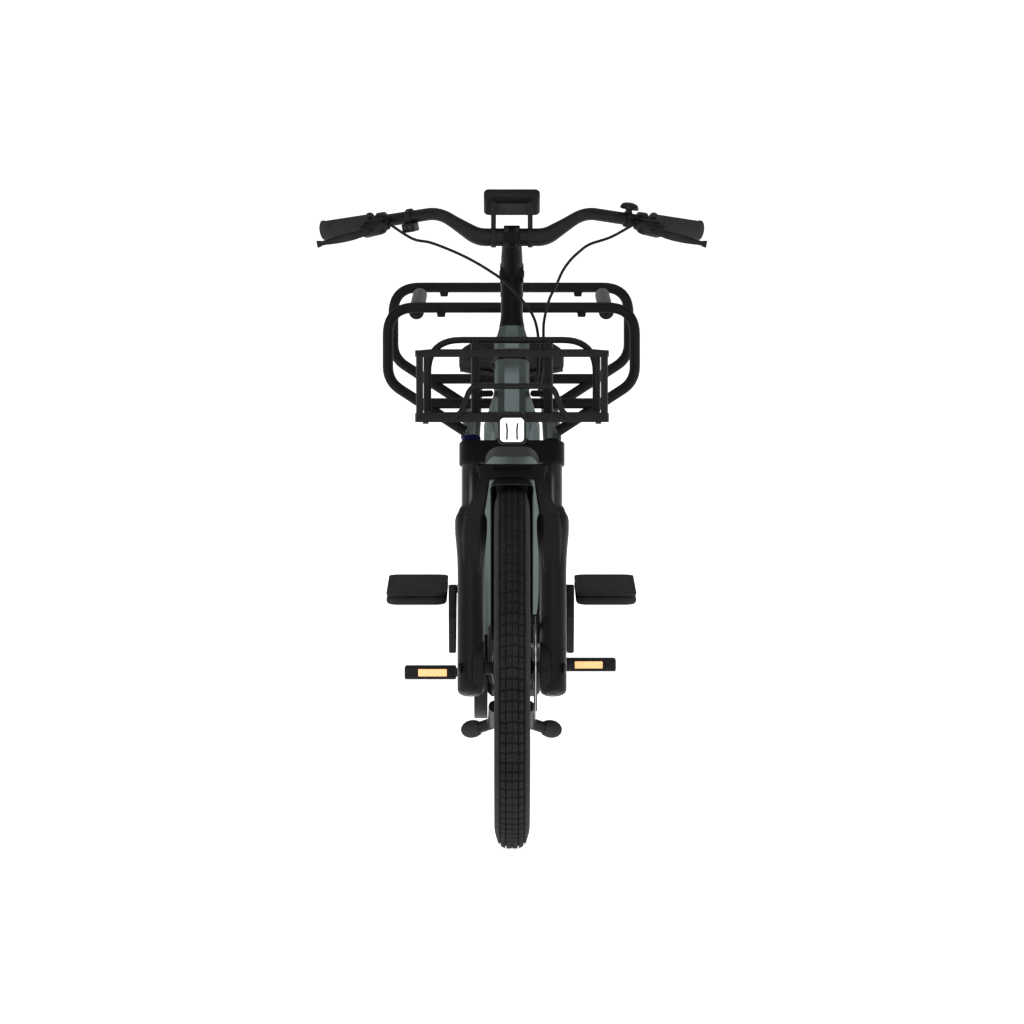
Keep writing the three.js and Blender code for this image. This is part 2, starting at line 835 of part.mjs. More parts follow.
function basketSide() {
  const front = STRIP + 4; // clear of the front posts
  const bar = (low, high) => {
    const plan = outline([
      [sideX(front) + 5, front],
      [sideX(BASKET.depth - 14) + 5, BASKET.depth - 14],
      [sideX(BASKET.depth - 14), BASKET.depth - 14],
      [sideX(front), front],
    ]);
    return new THREE.ExtrudeGeometry(plan, { depth: high - low, bevelEnabled: false }).translate(
      0,
      0,
      low,
    );
  };
  const wires = [0.33, 0.66].map((share) => {
    const y = share * BASKET.depth;
    return rod(point(sideX(y) + 2.5, y, 0), point(sideX(y) + 2.5, y, BASKET.height), 4, 8);
  });
  return join(bar(-6, 6), bar(BASKET.height - 6, BASKET.height + 6), ...wires);
}

function basketRear() {
  const y = BASKET.depth - 6;
  const hoopTop = BASKET.height + 22;
  const loop = tube(
    bend(
      [
        point(-148, y, 0),
        point(-148, y, hoopTop),
        point(148, y, hoopTop),
        point(148, y, 0),
      ],
      58,
      7,
    ),
    5.8,
    8,
  );
  const strip = (z) => box(-148, 148, y - 3, y + 3, z - 6, z + 6);
  const posts = [-64, 64].map((x) => rod(point(x, y, 0), point(x, y, hoopTop), 7.5, 8));
  // two arms hold the basket to the sides of the head tube
  const arms = [-1, 1].flatMap((side) => {
    const cheek = point(side * (HEAD_WIDTH / 2 + GAP + 6.2), y + 46, 38);
    return [
      rod(point(side * 64, y, 38), cheek, 6, 8),
      rod(cheek.clone().add(point(0, -8, 0)), cheek.clone().add(point(0, 8, 0)), 4, 8),
    ];
  });
  return join(loop, strip(0), strip(BASKET.height), ...posts, ...arms);
}

function basketFloor() {
  const front = STRIP + GAP;
  const rear = BASKET.depth - 14;
  const plan = outline([
    [-sideX(front) + 1, front],
    [sideX(front) - 1, front],
    [sideX(rear) - 1, rear],
    [-sideX(rear) + 1, rear],
  ]);
  const plate = new THREE.ExtrudeGeometry(plan, { depth: 3, bevelEnabled: false });
  return plate.translate(0, 0, -4);
}

add(basket, "basket_front", basketFront(), blackPaint());
addPair(basket, "basket_side", basketSide(), blackPaint);
add(basket, "basket_rear", basketRear(), blackPaint());
add(basket, "basket_floor", basketFloor(), blackPaint());

function headlightHousing() {
  const body = slab(
    outline([
      [LIGHT.front, LIGHT.bottom],
      [LIGHT.rear - 20, LIGHT.bottom + 6],
      [LIGHT.rear, LIGHT.bottom + 12],
      [LIGHT.rear, LIGHT.bottom + 24],
      [LIGHT.rear - 20, LIGHT.bottom + 31],
      [BASKET.frontY - 1, LIGHT.bottom + 35],
      [BASKET.frontY - 1, LIGHT.top],
      [LIGHT.front, LIGHT.top],
    ]),
    -24.5,
    24.5,
    3,
  );
  const socket = box(-21.2, 21.2, LIGHT.front - 5, LIGHT.front + 9, LIGHT.bottom + 4.7, LIGHT.top - 9.7);
  return cut(body, socket);
}

add(bicycle, "headlight_housing", headlightHousing(), blackPlastic());
add(
  bicycle,
  "headlight_lens",
  box(-20.8, 20.8, LIGHT.front + 1.5, LIGHT.front + 8.5, LIGHT.bottom + 5, LIGHT.top - 10),
  clearLens(),
);

// ---------------------------------------------------------------- seat

const seatDirection = seatPoint(1).sub(seatPoint(0)).normalize();
const seatpostTop = seatPoint(0).addScaledVector(
  seatDirection,
  (SEATPOST_TOP - SEAT_TUBE_LOW.z) / seatDirection.z,
);

function seatpost() {
  const post = rod(
    seatpostTop.clone().addScaledVector(seatDirection, -330),
    seatpostTop,
    SEATPOST_RADIUS,
    20,
  );
  const head = box(-21, 21, seatpostTop.y - 20, seatpostTop.y + 20, SEATPOST_TOP - 12, SEATPOST_TOP + 4);
  return join(post, head);
}

const SADDLE_Y = seatpostTop.y + 8;

function saddlePlan(grow) {
  const shape = new THREE.Shape();
  const nose = SADDLE_Y - 170;
  const tail = SADDLE_Y + 98;
  shape.moveTo(0, nose - grow);
  shape.quadraticCurveTo(20 + grow, nose - grow, 24 + grow, nose + 26);
  shape.bezierCurveTo(30 + grow, SADDLE_Y - 60, 92 + grow, SADDLE_Y - 40, 101 + grow, SADDLE_Y + 30);
  shape.quadraticCurveTo(104 + grow, tail - 14, 74, tail + grow);
  shape.quadraticCurveTo(30, tail + grow, 0, tail - 14 + grow);
  shape.quadraticCurveTo(-30, tail + grow, -74, tail + grow);
  shape.quadraticCurveTo(-104 - grow, tail - 14, -101 - grow, SADDLE_Y + 30);
  shape.bezierCurveTo(-92 - grow, SADDLE_Y - 40, -30 - grow, SADDLE_Y - 60, -24 - grow, nose + 26);
  shape.quadraticCurveTo(-20 - grow, nose - grow, 0, nose - grow);
  return shape;
}

function layer(plan, low, high, bevel) {
  const geometry = new THREE.ExtrudeGeometry(plan, {
    depth: high - low - 2 * bevel,
    bevelEnabled: bevel > 0,
    bevelThickness: bevel,
    bevelSize: bevel,
    bevelOffset: -bevel,
    bevelSegments: 1,
    curveSegments: 3,
  });
  return geometry.translate(0, 0, low + bevel);
}

function saddleShell() {
  const base = layer(saddlePlan(-4), SEATPOST_TOP + 14, SEATPOST_TOP + 22, 0);
  const rails = [-1, 1].map((side) =>
    tube(
      bend(
        [
          point(side * 14, SADDLE_Y - 130, SEATPOST_TOP + 18),
          point(side * 22, SADDLE_Y - 70, SEATPOST_TOP + 8),
          point(side * 22, SADDLE_Y + 40, SEATPOST_TOP + 8),
          point(side * 34, SADDLE_Y + 84, SEATPOST_TOP + 18),
        ],
        20,
        3,
      ),
      3.5,
      8,
    ),
  );
  return join(base, ...rails);
}

add(bicycle, "seatpost", seatpost(), blackAlloy());
add(bicycle, "saddle_shell", saddleShell(), blackPlastic());
add(
  bicycle,
  "saddle_cushion",
  layer(saddlePlan(0), SEATPOST_TOP + 22 + GAP, SADDLE_TOP, 8),
  paint(0x242424, 0.7, 0),
);

// The quick-release lever lies across the back of the collar and swings out from its left end.
function seatClampLever() {
  const middle = seatPoint(0.965);
  const z = middle.z - 8;
  return join(
    box(-15, 15, middle.y + 38, middle.y + 46, z - 5, z + 5),
    box(9.4, 14, middle.y + 37.5, middle.y + 46, z - 5, z + 5),
    box(-14, -9.4, middle.y + 32, middle.y + 46, z - 5, z + 5),
  );
}

add(bicycle, "seat_clamp_lever", seatClampLever(), bareSteel());

// ---------------------------------------------------------------- drive

function crankset() {
  const { y, z } = BOTTOM_BRACKET;
  const axle = rod(point(-80, y, z), point(80, y, z), 11, 16);
  const ring = turned(
    [
      [0, -56],
      [73, -56],
      [77, -54.5],
      [73, -53],
      [0, -53],
    ],
    40,
  ).translate(0, y, z);
  const arm = (side) => {
    const shape = outline([
      [-19, 0],
      [-13, 15],
      [0, 19],
      [CRANK_LENGTH, 13],
      [CRANK_LENGTH + 12, 8],
      [CRANK_LENGTH + 12, -8],
      [CRANK_LENGTH, -13],
      [0, -19],
      [-13, -15],
    ]);
    const blade = slab(shape, 72, 86, 2);
    // the right-hand arm points forward and up, the left-hand one back and down
    blade.rotateX(side > 0 ? -CRANK_LIFT : Math.PI - CRANK_LIFT);
    if (side < 0) blade.scale(-1, 1, 1);
    return blade.translate(0, y, z);
  };
  return join(axle, ring, arm(1), arm(-1));
}

const pedalAt = (side) => ({
  y: BOTTOM_BRACKET.y + side * CRANK_LENGTH * Math.cos(CRANK_LIFT),
  z: BOTTOM_BRACKET.z - side * CRANK_LENGTH * Math.sin(CRANK_LIFT),
});

function pedal() {
  const { y, z } = pedalAt(1);
  const frame = slab(
    outline([
      [-48, -9],
      [-42, -12.5],
      [42, -12.5],
      [48, -9],
      [48, 9],
      [42, 12.5],
      [-42, 12.5],
      [-48, 9],
    ]),
    PEDAL_X - 46,
    PEDAL_X + 48,
    2,
  );
  frame.rotateX(-PEDAL_TILT).translate(0, y, z);
  const spindle = rod(point(86 + GAP, y, z), point(PEDAL_X, y, z), 8, 12);
  return join(frame, spindle);
}

function pedalRight() {
  const left = pedalAt(1);
  const right = pedalAt(-1);
  return mirror(pedal()).translate(0, right.y - left.y, right.z - left.z);
}

function chainCase() {
  const { y, z } = BOTTOM_BRACKET;
  const loop = (grow) => {
    const front = 93 + grow;
    const rear = 44 + grow;
    const shape = new THREE.Shape();
    const lean = Math.atan2(rearHub.z - z, rearHub.y - y);
    const spread = Math.asin((front - rear) / Math.hypot(rearHub.y - y, rearHub.z - z));
    const up = lean + Math.PI / 2 - spread;
    const down = lean - Math.PI / 2 + spread;
    shape.absarc(rearHub.y, rearHub.z, rear, down, up);
    shape.absarc(y, z, front, up, down + 2 * Math.PI);
    return shape;
  };
  const body = slab(loop(0), -69, -44.5);
  const inside = slab(loop(-3), -66.5, -40);
  const crankHole = rod(point(-80, y, z), point(-60, y, z), 16, 16);
  const hubHole = rod(point(-80, rearHub.y, rearHub.z), point(-60, rearHub.y, rearHub.z), 20, 16);
  return cut(body, inside, crankHole, hubHole);
}

const sprocketProfile = [
  [15.6, -56],
  [30, -56],
  [34, -54.5],
  [30, -53],
  [15.6, -53],
  [15.6, -56],
];

add(bicycle, "crankset", crankset(), blackAlloy());
add(bicycle, "pedal_left", pedal(), blackPlastic());
add(bicycle, "pedal_right", pedalRight(), blackPlastic());
add(bicycle, "chain_case", chainCase(), blackPlastic());
add(
  bicycle,
  "rear_sprocket",
  turned(sprocketProfile, 28).translate(0, rearHub.y, rearHub.z),
  bareSteel(),
);

// ---------------------------------------------------------------- kickstand and footrests

function standBracket() {
  const { y, z } = STAND_PIVOT;
  const plate = slab(
    outline([
      [750, 186.7],
      [752, 166],
      [y - 14, z - 12],
      [y, z - 16],
      [y + 14, z - 6],
      [y + 14, z + 12],
      [794, 186.7],
    ]),
    -17,
    17,
  );
  const pinHole = rod(point(-30, y, z), point(30, y, z), 8.5, 16);
  return cut(plate, pinHole);
}

function kickstand() {
  const { y, z } = STAND_PIVOT;
  const pin = rod(point(-38, y, z), point(38, y, z), 8, 16);
  const legs = [-1, 1].map((side) => {
    const leg = tube(
      bend(
        [
          point(side * 32, y - 12, z + 3),
          point(side * 34, y + 118, z - 44),
          point(side * 66, y + 146, z - 58),
          point(side * 90, y + 152, z - 62),
        ],
        24,
        3,
      ),
      11,
      10,
    );
    const foot = rod(
      point(side * 60, y + 143, z - 56),
      point(side * 91, y + 152.5, z - 62.5),
      13.6,
      14,
    );
    return join(leg, foot);
  });
  return join(pin, ...legs);
}

function footrest() {
  const { inner, outer, front, rear, top, thick } = FOOTREST;
  const plan = roundedRectangle((outer - inner) / 2, (rear - front) / 2, 16);
  return layer(plan, top - thick, top, 3).translate((outer + inner) / 2, (rear + front) / 2, 0);
}

function footrestArm() {
  const { front } = FOOTREST;
  const plate = slab(
    outline([
      [front + 12, 359],
      [front + 90, 351],
      [1348, 325],
      [1348, 308],
      [1240, 284],
      [1120, 228],
      [1060, 223],
      [front + 12, 296],
    ]),
    105,
    119,
    2,
  );
  const frontLug = box(91, 108, 1036, 1066, 341, 353);
  const rearLug = box(91, 108, 1264, 1296, 317, 330);
  const stayClear = tube(
    bend([point(82, 1000, 368), point(82, 1322, 334)], 60),
    10.4,
    16,
  );
  return cut(join(plate, frontLug, rearLug), stayClear);
}

add(bicycle, "kickstand_bracket", standBracket(), blackPaint());
add(bicycle, "kickstand", kickstand(), blackAlloy());
addPair(bicycle, "footrest", footrest(), blackPlastic);
addPair(bicycle, "footrest_arm", footrestArm(), blackPaint);

// ---------------------------------------------------------------- stem and handlebar

const stemFoot = onSteering(HEAD_HIGH + 8 + GAP);
const stemJoint = onSteering(732);

function stem() {
  const column = rod(stemFoot, stemJoint, 19, 20);
  const shroud = rod(onSteering(HEAD_HIGH + GAP), onSteering(HEAD_HIGH + 14), 22, 16);
  const shroudBore = rod(onSteering(HEAD_HIGH - 5), onSteering(HEAD_HIGH + 8 + GAP), 14.4, 16);
  const knuckle = rod(point(-21, stemJoint.y, stemJoint.z), point(21, stemJoint.y, stemJoint.z), 20.5, 20);
  const reach = rod(stemJoint, point(0, BAR_CLAMP.y, BAR_CLAMP.z), 19, 16);
  const clamp = rod(
    point(-19, BAR_CLAMP.y, BAR_CLAMP.z),
    point(19, BAR_CLAMP.y, BAR_CLAMP.z),
    21.5,
    20,
  );
  const barBore = rod(
    point(-40, BAR_CLAMP.y, BAR_CLAMP.z),
    point(40, BAR_CLAMP.y, BAR_CLAMP.z),
    16.3,
    20,
  );
  return cut(join(column, shroud, knuckle, reach, clamp), shroudBore, barBore);
}

const barDirection = BAR_END.clone().sub(BAR_PEAK).normalize();
const GRIP_START = 112; // distances along the straight outer part of the handlebar
const GRIP_END = BAR_END.distanceTo(BAR_PEAK) + 4;

function handlebar() {
  const half = bend(
    [
      point(40, BAR_CLAMP.y, BAR_CLAMP.z),
      point(60, BAR_CLAMP.y, BAR_CLAMP.z),
      BAR_PEAK.clone().addScaledVector(barDirection, -21),
      BAR_END,
    ],
    50,
    5,
  );
  const flip = (p) => point(-p.x, p.y, p.z);
  const whole = tube([...half.map(flip).reverse(), ...half], 11, 10);
  const fat = turned(
    [
      [0, -64],
      [11.5, -64],
      [15.9, -46],
      [15.9, 46],
      [11.5, 64],
      [0, 64],
    ],
    20,
  ).translate(0, BAR_CLAMP.y, BAR_CLAMP.z);
  return join(whole, fat);
}

// The frame of the handlebar's straight left end: x outwards along it, y back, z up.
function barFrame(along) {
  const side = barDirection.clone();
  const rear = point(0, 1, 0).addScaledVector(side, -side.y).normalize();
  const up = side.clone().cross(rear);
  const at = BAR_PEAK.clone().addScaledVector(side, along);
  return new THREE.Matrix4().makeBasis(side, rear, up).setPosition(at);
}

// Places a piece drawn round its own X axis onto the left end of the handlebar.
const onBar = (geometry, along) => geometry.clone().applyMatrix4(barFrame(along));

function grip() {
  const length = GRIP_END - GRIP_START;
  const profile = [
    [11.3, 0],
    [19, 0],
    [19, 5],
    [16.5, 8],
    [16, length / 2],
    [16.5, length - 8],
    [18, length - 3],
    [15, length],
    [0, length],
    [0, length - 3.6],
    [11.3, length - 3.6],
    [11.3, 0],
  ];
  return onBar(turned(profile, 14), GRIP_START);
}

function brakeBody() {
  const ring = rod(point(-8, 0, 0), point(8, 0, 0), 16, 16);
  const reservoir = rod(point(-26, -30, -6), point(28, -30, -10), 12, 12);
  const bridge = box(-8, 8, -30, -8, -14, 6);
  const bore = rod(point(-20, 0, 0), point(20, 0, 0), 11.3, 16);
  return onBar(cut(join(ring, bridge, reservoir), bore), 92);
}

function brakeLever() {
  const blade = tube(
    bend(
      [
        point(16, -50, -12),
        point(40, -56, -14),
        point(92, -50, -18),
        point(118, -60, -20),
      ],
      30,
      4,
    ),
    5.5,
    8,
  );
  return onBar(blade, 80);
}

function display() {
  const { y, z } = BAR_CLAMP;
  const arms = [-32.5, 32.5].map((x) => {
    const ring = rod(point(x - 4.5, y, z), point(x + 4.5, y, z), 18.5, 16);
    const arm = slab(
      outline([
        [y - 8, z + 12],
        [y + 8, z + 12],
        [y + 8, z + 55],
        [y - 8, z + 66],
      ]),
      x - 4.5,
      x + 4.5,
    );
    return join(ring, arm);
  });
  const casing = layer(roundedRectangle(50, 31, 10), 0, 18, 3);
  casing.rotateX(-DISPLAY_TILT).translate(0, y + 4, z + 54.5);
  const bores = rod(point(-60, y, z), point(60, y, z), 16.3, 20);
  return cut(join(casing, ...arms), bores);
}

add(bicycle, "stem", stem(), blackAlloy());
add(bicycle, "handlebar", handlebar(), blackAlloy());
addPair(bicycle, "grip", grip(), rubber);
addPair(bicycle, "brake_body", brakeBody(), blackAlloy);
addPair(bicycle, "brake_lever", brakeLever(), blackAlloy);
add(bicycle, "display", display(), blackPlastic());

function remote() {
  const ring = rod(point(-5, 0, 0), point(5, 0, 0), 15, 16);
  const pod = box(-12, 12, -20, 6, -26, -10);
  const bore = rod(point(-20, 0, 0), point(20, 0, 0), 11.3, 16);
  return mirror(onBar(cut(join(ring, pod), bore), 36));
}

function bell() {
  const ring = rod(point(-5, 0, 0), point(5, 0, 0), 14.5, 16);
  const post = rod(point(0, 0, 12), point(0, 0, 18), 6, 12);
  const dome = rod(point(0, 0, 17), point(0, 0, 30), 17, 20);
  const bore = rod(point(-20, 0, 0), point(20, 0, 0), 11.3, 16);
  return onBar(cut(join(ring, post, dome), bore), 64);
}

add(bicycle, "assist_remote", remote(), blackPlastic());
add(bicycle, "bell", bell(), blackAlloy());

// ---------------------------------------------------------------- hoses

const HOSE_RADIUS = 2.6;
const leverPort = point(-28.2, -30, -6).applyMatrix4(barFrame(92));
const mirrored = (p) => point(-p.x, p.y, p.z);

// A hose drawn smoothly through its route.
function hose(route, steps) {
  const curve = new THREE.CatmullRomCurve3(route, false, "centripetal");
  return tube(curve.getSpacedPoints(steps), HOSE_RADIUS, 8);
}

add(
  bicycle,
  "rear_brake_hose",
  hose(
    [
      mirrored(leverPort),
      point(-176, 246, 1053),
      point(-145, 234, 1047),
      point(-109, 226, 1034),
      point(-74, 220, 1018),
      point(-38, 214, 997),
      point(-12, 210, 978),
      point(20, 208, 944),
      point(38, 210, 917),
      point(46, 220, 886),
      point(47, 238, 852),
      point(46, 260, 816),
      point(42, 286, 785),
    ],
    36,
  ),
  rubber(),
);
add(
  bicycle,
  "front_brake_hose",
  hose(
    [
      leverPort,
      point(176, 248, 1056),
      point(139, 238, 1044),
      point(121, 234, 1032),
      point(103, 230, 1015),
      point(89, 226, 995),
      point(77, 224, 968),
      point(66, 222, 946),
      point(57, 224, 908),
      point(56, 232, 878),
      point(55, 248, 846),
      point(53, 272, 808),
      point(48, 298, 776),
    ],
    36,
  ),
  rubber(),
);
add(
  steering,
  "fork_brake_hose",
  hose(
    [
      point(30, 20, CROWN_LOW - HOSE_RADIUS - GAP),
      point(46, 14, 350),
      point(50, 8, 300),
      point(50, 2, 240),
      point(50, 4, 170),
      point(48, 14, 130),
      point(45, 20, 109.4),
    ],
    22,
  ),
  rubber(),
);

export default bicycle;
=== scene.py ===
"""A long-tail cargo bicycle seen from the front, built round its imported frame. Metres, +Z up."""

import json
import math

import bmesh
import bpy
from mathutils import Matrix, Vector


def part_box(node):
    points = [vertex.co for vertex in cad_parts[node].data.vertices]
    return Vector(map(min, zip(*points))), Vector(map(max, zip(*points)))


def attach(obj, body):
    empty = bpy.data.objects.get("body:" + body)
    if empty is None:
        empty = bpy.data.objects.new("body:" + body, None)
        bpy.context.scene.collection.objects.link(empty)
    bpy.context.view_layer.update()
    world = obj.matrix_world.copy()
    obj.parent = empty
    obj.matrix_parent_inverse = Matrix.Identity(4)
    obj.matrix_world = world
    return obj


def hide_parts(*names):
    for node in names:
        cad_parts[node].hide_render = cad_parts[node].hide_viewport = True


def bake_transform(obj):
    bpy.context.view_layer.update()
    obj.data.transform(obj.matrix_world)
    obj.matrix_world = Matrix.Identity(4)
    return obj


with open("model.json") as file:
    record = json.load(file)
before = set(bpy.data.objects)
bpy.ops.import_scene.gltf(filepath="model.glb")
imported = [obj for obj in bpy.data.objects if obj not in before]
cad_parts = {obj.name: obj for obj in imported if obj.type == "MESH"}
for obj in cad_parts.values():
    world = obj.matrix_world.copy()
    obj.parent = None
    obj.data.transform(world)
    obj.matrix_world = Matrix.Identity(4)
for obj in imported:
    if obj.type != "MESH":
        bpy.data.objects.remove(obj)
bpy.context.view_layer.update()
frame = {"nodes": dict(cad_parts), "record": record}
MM = 0.001
ACROSS = Vector((1, 0, 0))
BACK = Vector((0, 1, 0))
RISE = Vector((0, 0, 1))
WELD = 0.00005  # points of a CAD mesh closer than this are one

# ---------------------------------------------------------------- places taken from the frame


def measured(node):
    """The middle, low and high corners of a node in metres, and its half sizes in millimetres."""
    low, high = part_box(node)
    return (low + high) / 2, low, high, (high - low) / 2 / MM


FRONT_AXLE = measured("front_tyre")[0]
REAR_AXLE = measured("rear_tyre")[0]
JOINTS = {joint["name"]: joint for joint in frame["record"]["behaviour"]["joints"]}
STEER_UP = Vector(JOINTS["steering_turn"]["axis"]).normalized()
STEER_FOOT = Vector(JOINTS["steering_turn"]["pos_m"])
STEER_BACK = STEER_UP.cross(ACROSS)


def at(x, y, z):
    """A point given in millimetres, with y counted back from the front axle."""
    return Vector((x * MM, FRONT_AXLE.y + y * MM, z * MM))


def places(*points):
    return [at(*point) for point in points]


def on_fork(x, y, s):
    """A point given in millimetres, with s counted up the steering axis and y back from it."""
    return STEER_FOOT + Vector((x, 0, 0)) * MM + STEER_BACK * y * MM + STEER_UP * s * MM


def on_wheel(axle, x, radius, angle):
    """A point in millimetres, x along an axle and a radius out from it, at an angle up from straight back."""
    return axle + Vector((x, radius * math.cos(angle), radius * math.sin(angle))) * MM


BASKET_TILT = math.radians(3.3)
BASKET_FOOT = at(0, -40, 757)


def in_basket(x, y, z):
    """A point given in millimetres in the basket's own tilted frame."""
    turn = Matrix.Rotation(-BASKET_TILT, 3, "X")
    return BASKET_FOOT + turn @ (Vector((x, y, z)) * MM)


# the handlebar: its middle, the top of its left bend and its left end
BAR_Y = 250
BAR_Z = 1055.5
BAR_PEAK = Vector((148, 256, 1096))
BAR_END = Vector((334, 341, 1063.5))
BAR_SIDE = (BAR_END - BAR_PEAK).normalized()
BAR_REAR = (BACK - BAR_SIDE * BAR_SIDE.y).normalized()
BAR_UP = BAR_SIDE.cross(BAR_REAR)


def on_bar(along, x, y, z, side=1):
    """A point in the frame of the handlebar's straight end, on the left (side 1) or the right (side -1)."""
    p = BAR_PEAK + BAR_SIDE * (along + x) + BAR_REAR * y + BAR_UP * z
    return at(side * p.x, p.y, p.z)


def bar_way(x, y, z, side):
    """A direction in that same frame, a millimetre long."""
    return on_bar(0, x, y, z, side) - on_bar(0, 0, 0, 0, side)


# ---------------------------------------------------------------- materials


class Paint:
    """A material under construction: a principled shader and short ways to drive it."""

    def __init__(self, name, roughness, metallic=0.0, coat=0.0, specular=0.5):
        self.material = bpy.data.materials.new(name)
        self.material.use_nodes = True
        self.tree = self.material.node_tree
        self.shader = self.tree.nodes["Principled BSDF"]
        self.put("Roughness", roughness)
        self.put("Metallic", metallic)
        self.put("Coat Weight", coat)
        self.put("Coat Roughness", 0.05)
        self.put("Specular IOR Level", specular)
        self.height = None

    def put(self, name, value):
        self.shader.inputs[name].default_value = value

    def node(self, kind, **inputs):
        made = self.tree.nodes.new(kind)
        for key, value in inputs.items():
            made.inputs[key.replace("_", " ")].default_value = value
        return made

    def link(self, source, target):
        self.tree.links.new(source, target)

    def coordinates(self, stretch=(1, 1, 1)):
        place = self.node("ShaderNodeTexCoord")
        mapping = self.node("ShaderNodeMapping")
        mapping.inputs["Scale"].default_value = stretch
        self.link(place.outputs["Object"], mapping.inputs["Vector"])
        return mapping.outputs["Vector"]

    def noise(self, scale, detail=3.0, stretch=(1, 1, 1)):
        made = self.node("ShaderNodeTexNoise", Scale=scale, Detail=detail)
        self.link(self.coordinates(stretch), made.inputs["Vector"])
        return made.outputs["Fac"]

    def cells(self, scale):
        made = self.node("ShaderNodeTexVoronoi", Scale=scale)
        self.link(self.coordinates(), made.inputs["Vector"])
        return made.outputs["Distance"]

    def colour(self, value, low, high, start=0.3, end=0.7):
        made = self.node("ShaderNodeValToRGB")
        first, last = made.color_ramp.elements
        first.position, last.position = start, end
        first.color, last.color = (*low, 1), (*high, 1)
        self.link(value, made.inputs["Fac"])
        self.link(made.outputs["Color"], self.shader.inputs["Base Color"])

    def glow(self, colour, strength):
        self.put("Emission Color", (*colour, 1))
        self.put("Emission Strength", strength)

    def rough(self, value, low, high):
        made = self.node("ShaderNodeMapRange", To_Min=low, To_Max=high)
        self.link(value, made.inputs["Value"])
        self.link(made.outputs["Result"], self.shader.inputs["Roughness"])

    def bump(self, value, depth, strength):
        made = self.node("ShaderNodeBump", Strength=strength, Distance=depth)
        if self.height is not None:
            self.link(self.height, made.inputs["Normal"])
        self.link(value, made.inputs["Height"])
        self.height = made.outputs["Normal"]
        self.link(self.height, self.shader.inputs["Normal"])
        return self


def grey(value):
    return (value, value, value)


def frame_paint():
    p = Paint("frame_paint_metallic", 0.42, metallic=0.85, specular=0.2)
    p.put("Specular Tint", (0.3, 0.3, 0.3, 1))
    p.colour(p.noise(9), (0.109, 0.130, 0.129), (0.124, 0.149, 0.146))
    p.rough(p.cells(5200), 0.38, 0.5)
    return p.bump(p.cells(4200), 0.00006, 0.35).material


def powder_coat(name, value, roughness=0.42):
    p = Paint(name, roughness, specular=0.12)
    p.colour(p.noise(14), grey(value * 0.85), grey(value * 1.15))
    p.rough(p.noise(45), roughness - 0.06, roughness + 0.08)
    return p.bump(p.noise(2600, 2), 0.00025, 0.45).material


def moulded_plastic(name, value, grain=1500, roughness=0.52, specular=0.12):
    p = Paint(name, roughness, specular=specular)
    p.colour(p.noise(20), grey(value * 0.88), grey(value * 1.12))
    p.rough(p.noise(60), roughness - 0.05, roughness + 0.08)
    return p.bump(p.cells(grain), 0.0003, 0.35).material


def soft_rubber(name, value, roughness=0.78, scale=900):
    p = Paint(name, roughness, specular=0.1)
    p.colour(p.noise(26), grey(value * 0.8), grey(value * 1.25))
    p.rough(p.noise(80), roughness - 0.08, roughness + 0.1)
    return p.bump(p.noise(scale, 4), 0.0003, 0.5).material


def closed_foam():
    p = Paint("closed_cell_foam", 0.92, specular=0.2)
    p.colour(p.noise(700, 4), grey(0.04), grey(0.07))
    p.put("Sheen Weight", 0.15)
    return p.bump(p.cells(1400), 0.0007, 0.8).material


def anodised(name, colour, roughness=0.3):
    p = Paint(name, roughness, metallic=0.5, specular=0.15)
    light = tuple(c * 1.25 for c in colour)
    p.colour(p.noise(30), colour, light)
    p.rough(p.noise(300, 2, (1, 1, 12)), roughness - 0.05, roughness + 0.09)
    return p.bump(p.noise(1800, 2), 0.00008, 0.3).material


def brushed_steel():
    p = Paint("brushed_steel", 0.28, metallic=1.0)
    p.colour(p.noise(600, 2, (1, 1, 18)), grey(0.42), grey(0.62))
    p.rough(p.noise(900, 2, (1, 1, 20)), 0.2, 0.4)
    return p.bump(p.noise(900, 2, (1, 1, 20)), 0.00008, 0.3).material


def saddle_cover():
    p = Paint("grained_saddle_cover", 0.72, specular=0.06)
    p.colour(p.noise(30), grey(0.008), grey(0.014))
    return p.bump(p.cells(700), 0.0006, 0.6).bump(p.noise(120, 3), 0.0006, 0.3).material


def reflector(name, deep, bright, glow):
    p = Paint(name, 0.16, coat=1.0)
    p.colour(p.cells(420), bright, deep, 0.0, 0.8)
    # The glow is light the part gives off. On the amber pedal reflectors it is painted light, standing in for
    # light sent back by the reflector; on the tail light's red lens it is the lamp's own glow.
    p.glow(bright, glow)
    return p.bump(p.cells(420), 0.0012, 0.7).material


def lamp_glass():
    p = Paint("lamp_glass", 0.08, coat=1.0)
    p.colour(p.noise(160), (0.86, 0.88, 0.9), (1.0, 1.0, 1.0))
    p.glow(grey(1), 0.7)
    return p.bump(p.noise(90, 2), 0.0006, 0.3).material


def screen_glass():
    p = Paint("screen_glass", 0.07, coat=1.0)
    p.colour(p.noise(12), grey(0.012), grey(0.02))
    return p.bump(p.noise(40, 1), 0.0001, 0.1).material


FRAME = frame_paint()
COAT = powder_coat("satin_black_coat", 0.009)
FORK = powder_coat("fork_matt_black", 0.009, 0.4)
PLASTIC = moulded_plastic("grained_black_plastic", 0.011)
SMOOTH_PLASTIC = moulded_plastic("smooth_black_plastic", 0.008, 2600, 0.36)
TYRE = soft_rubber("tyre_rubber", 0.013)
RUBBER = soft_rubber("soft_rubber", 0.03, 0.66, 1400)
HOSE = soft_rubber("hose_jacket", 0.008, 0.38, 2400)
FOAM = closed_foam()
ALLOY = anodised("black_anodised_alloy", grey(0.012))
SATIN_ALLOY = anodised("satin_black_alloy", grey(0.012), 0.42)
BLUE = anodised("blue_anodised_alloy", (0.012, 0.013, 0.06))
STEEL = brushed_steel()
COVER = saddle_cover()
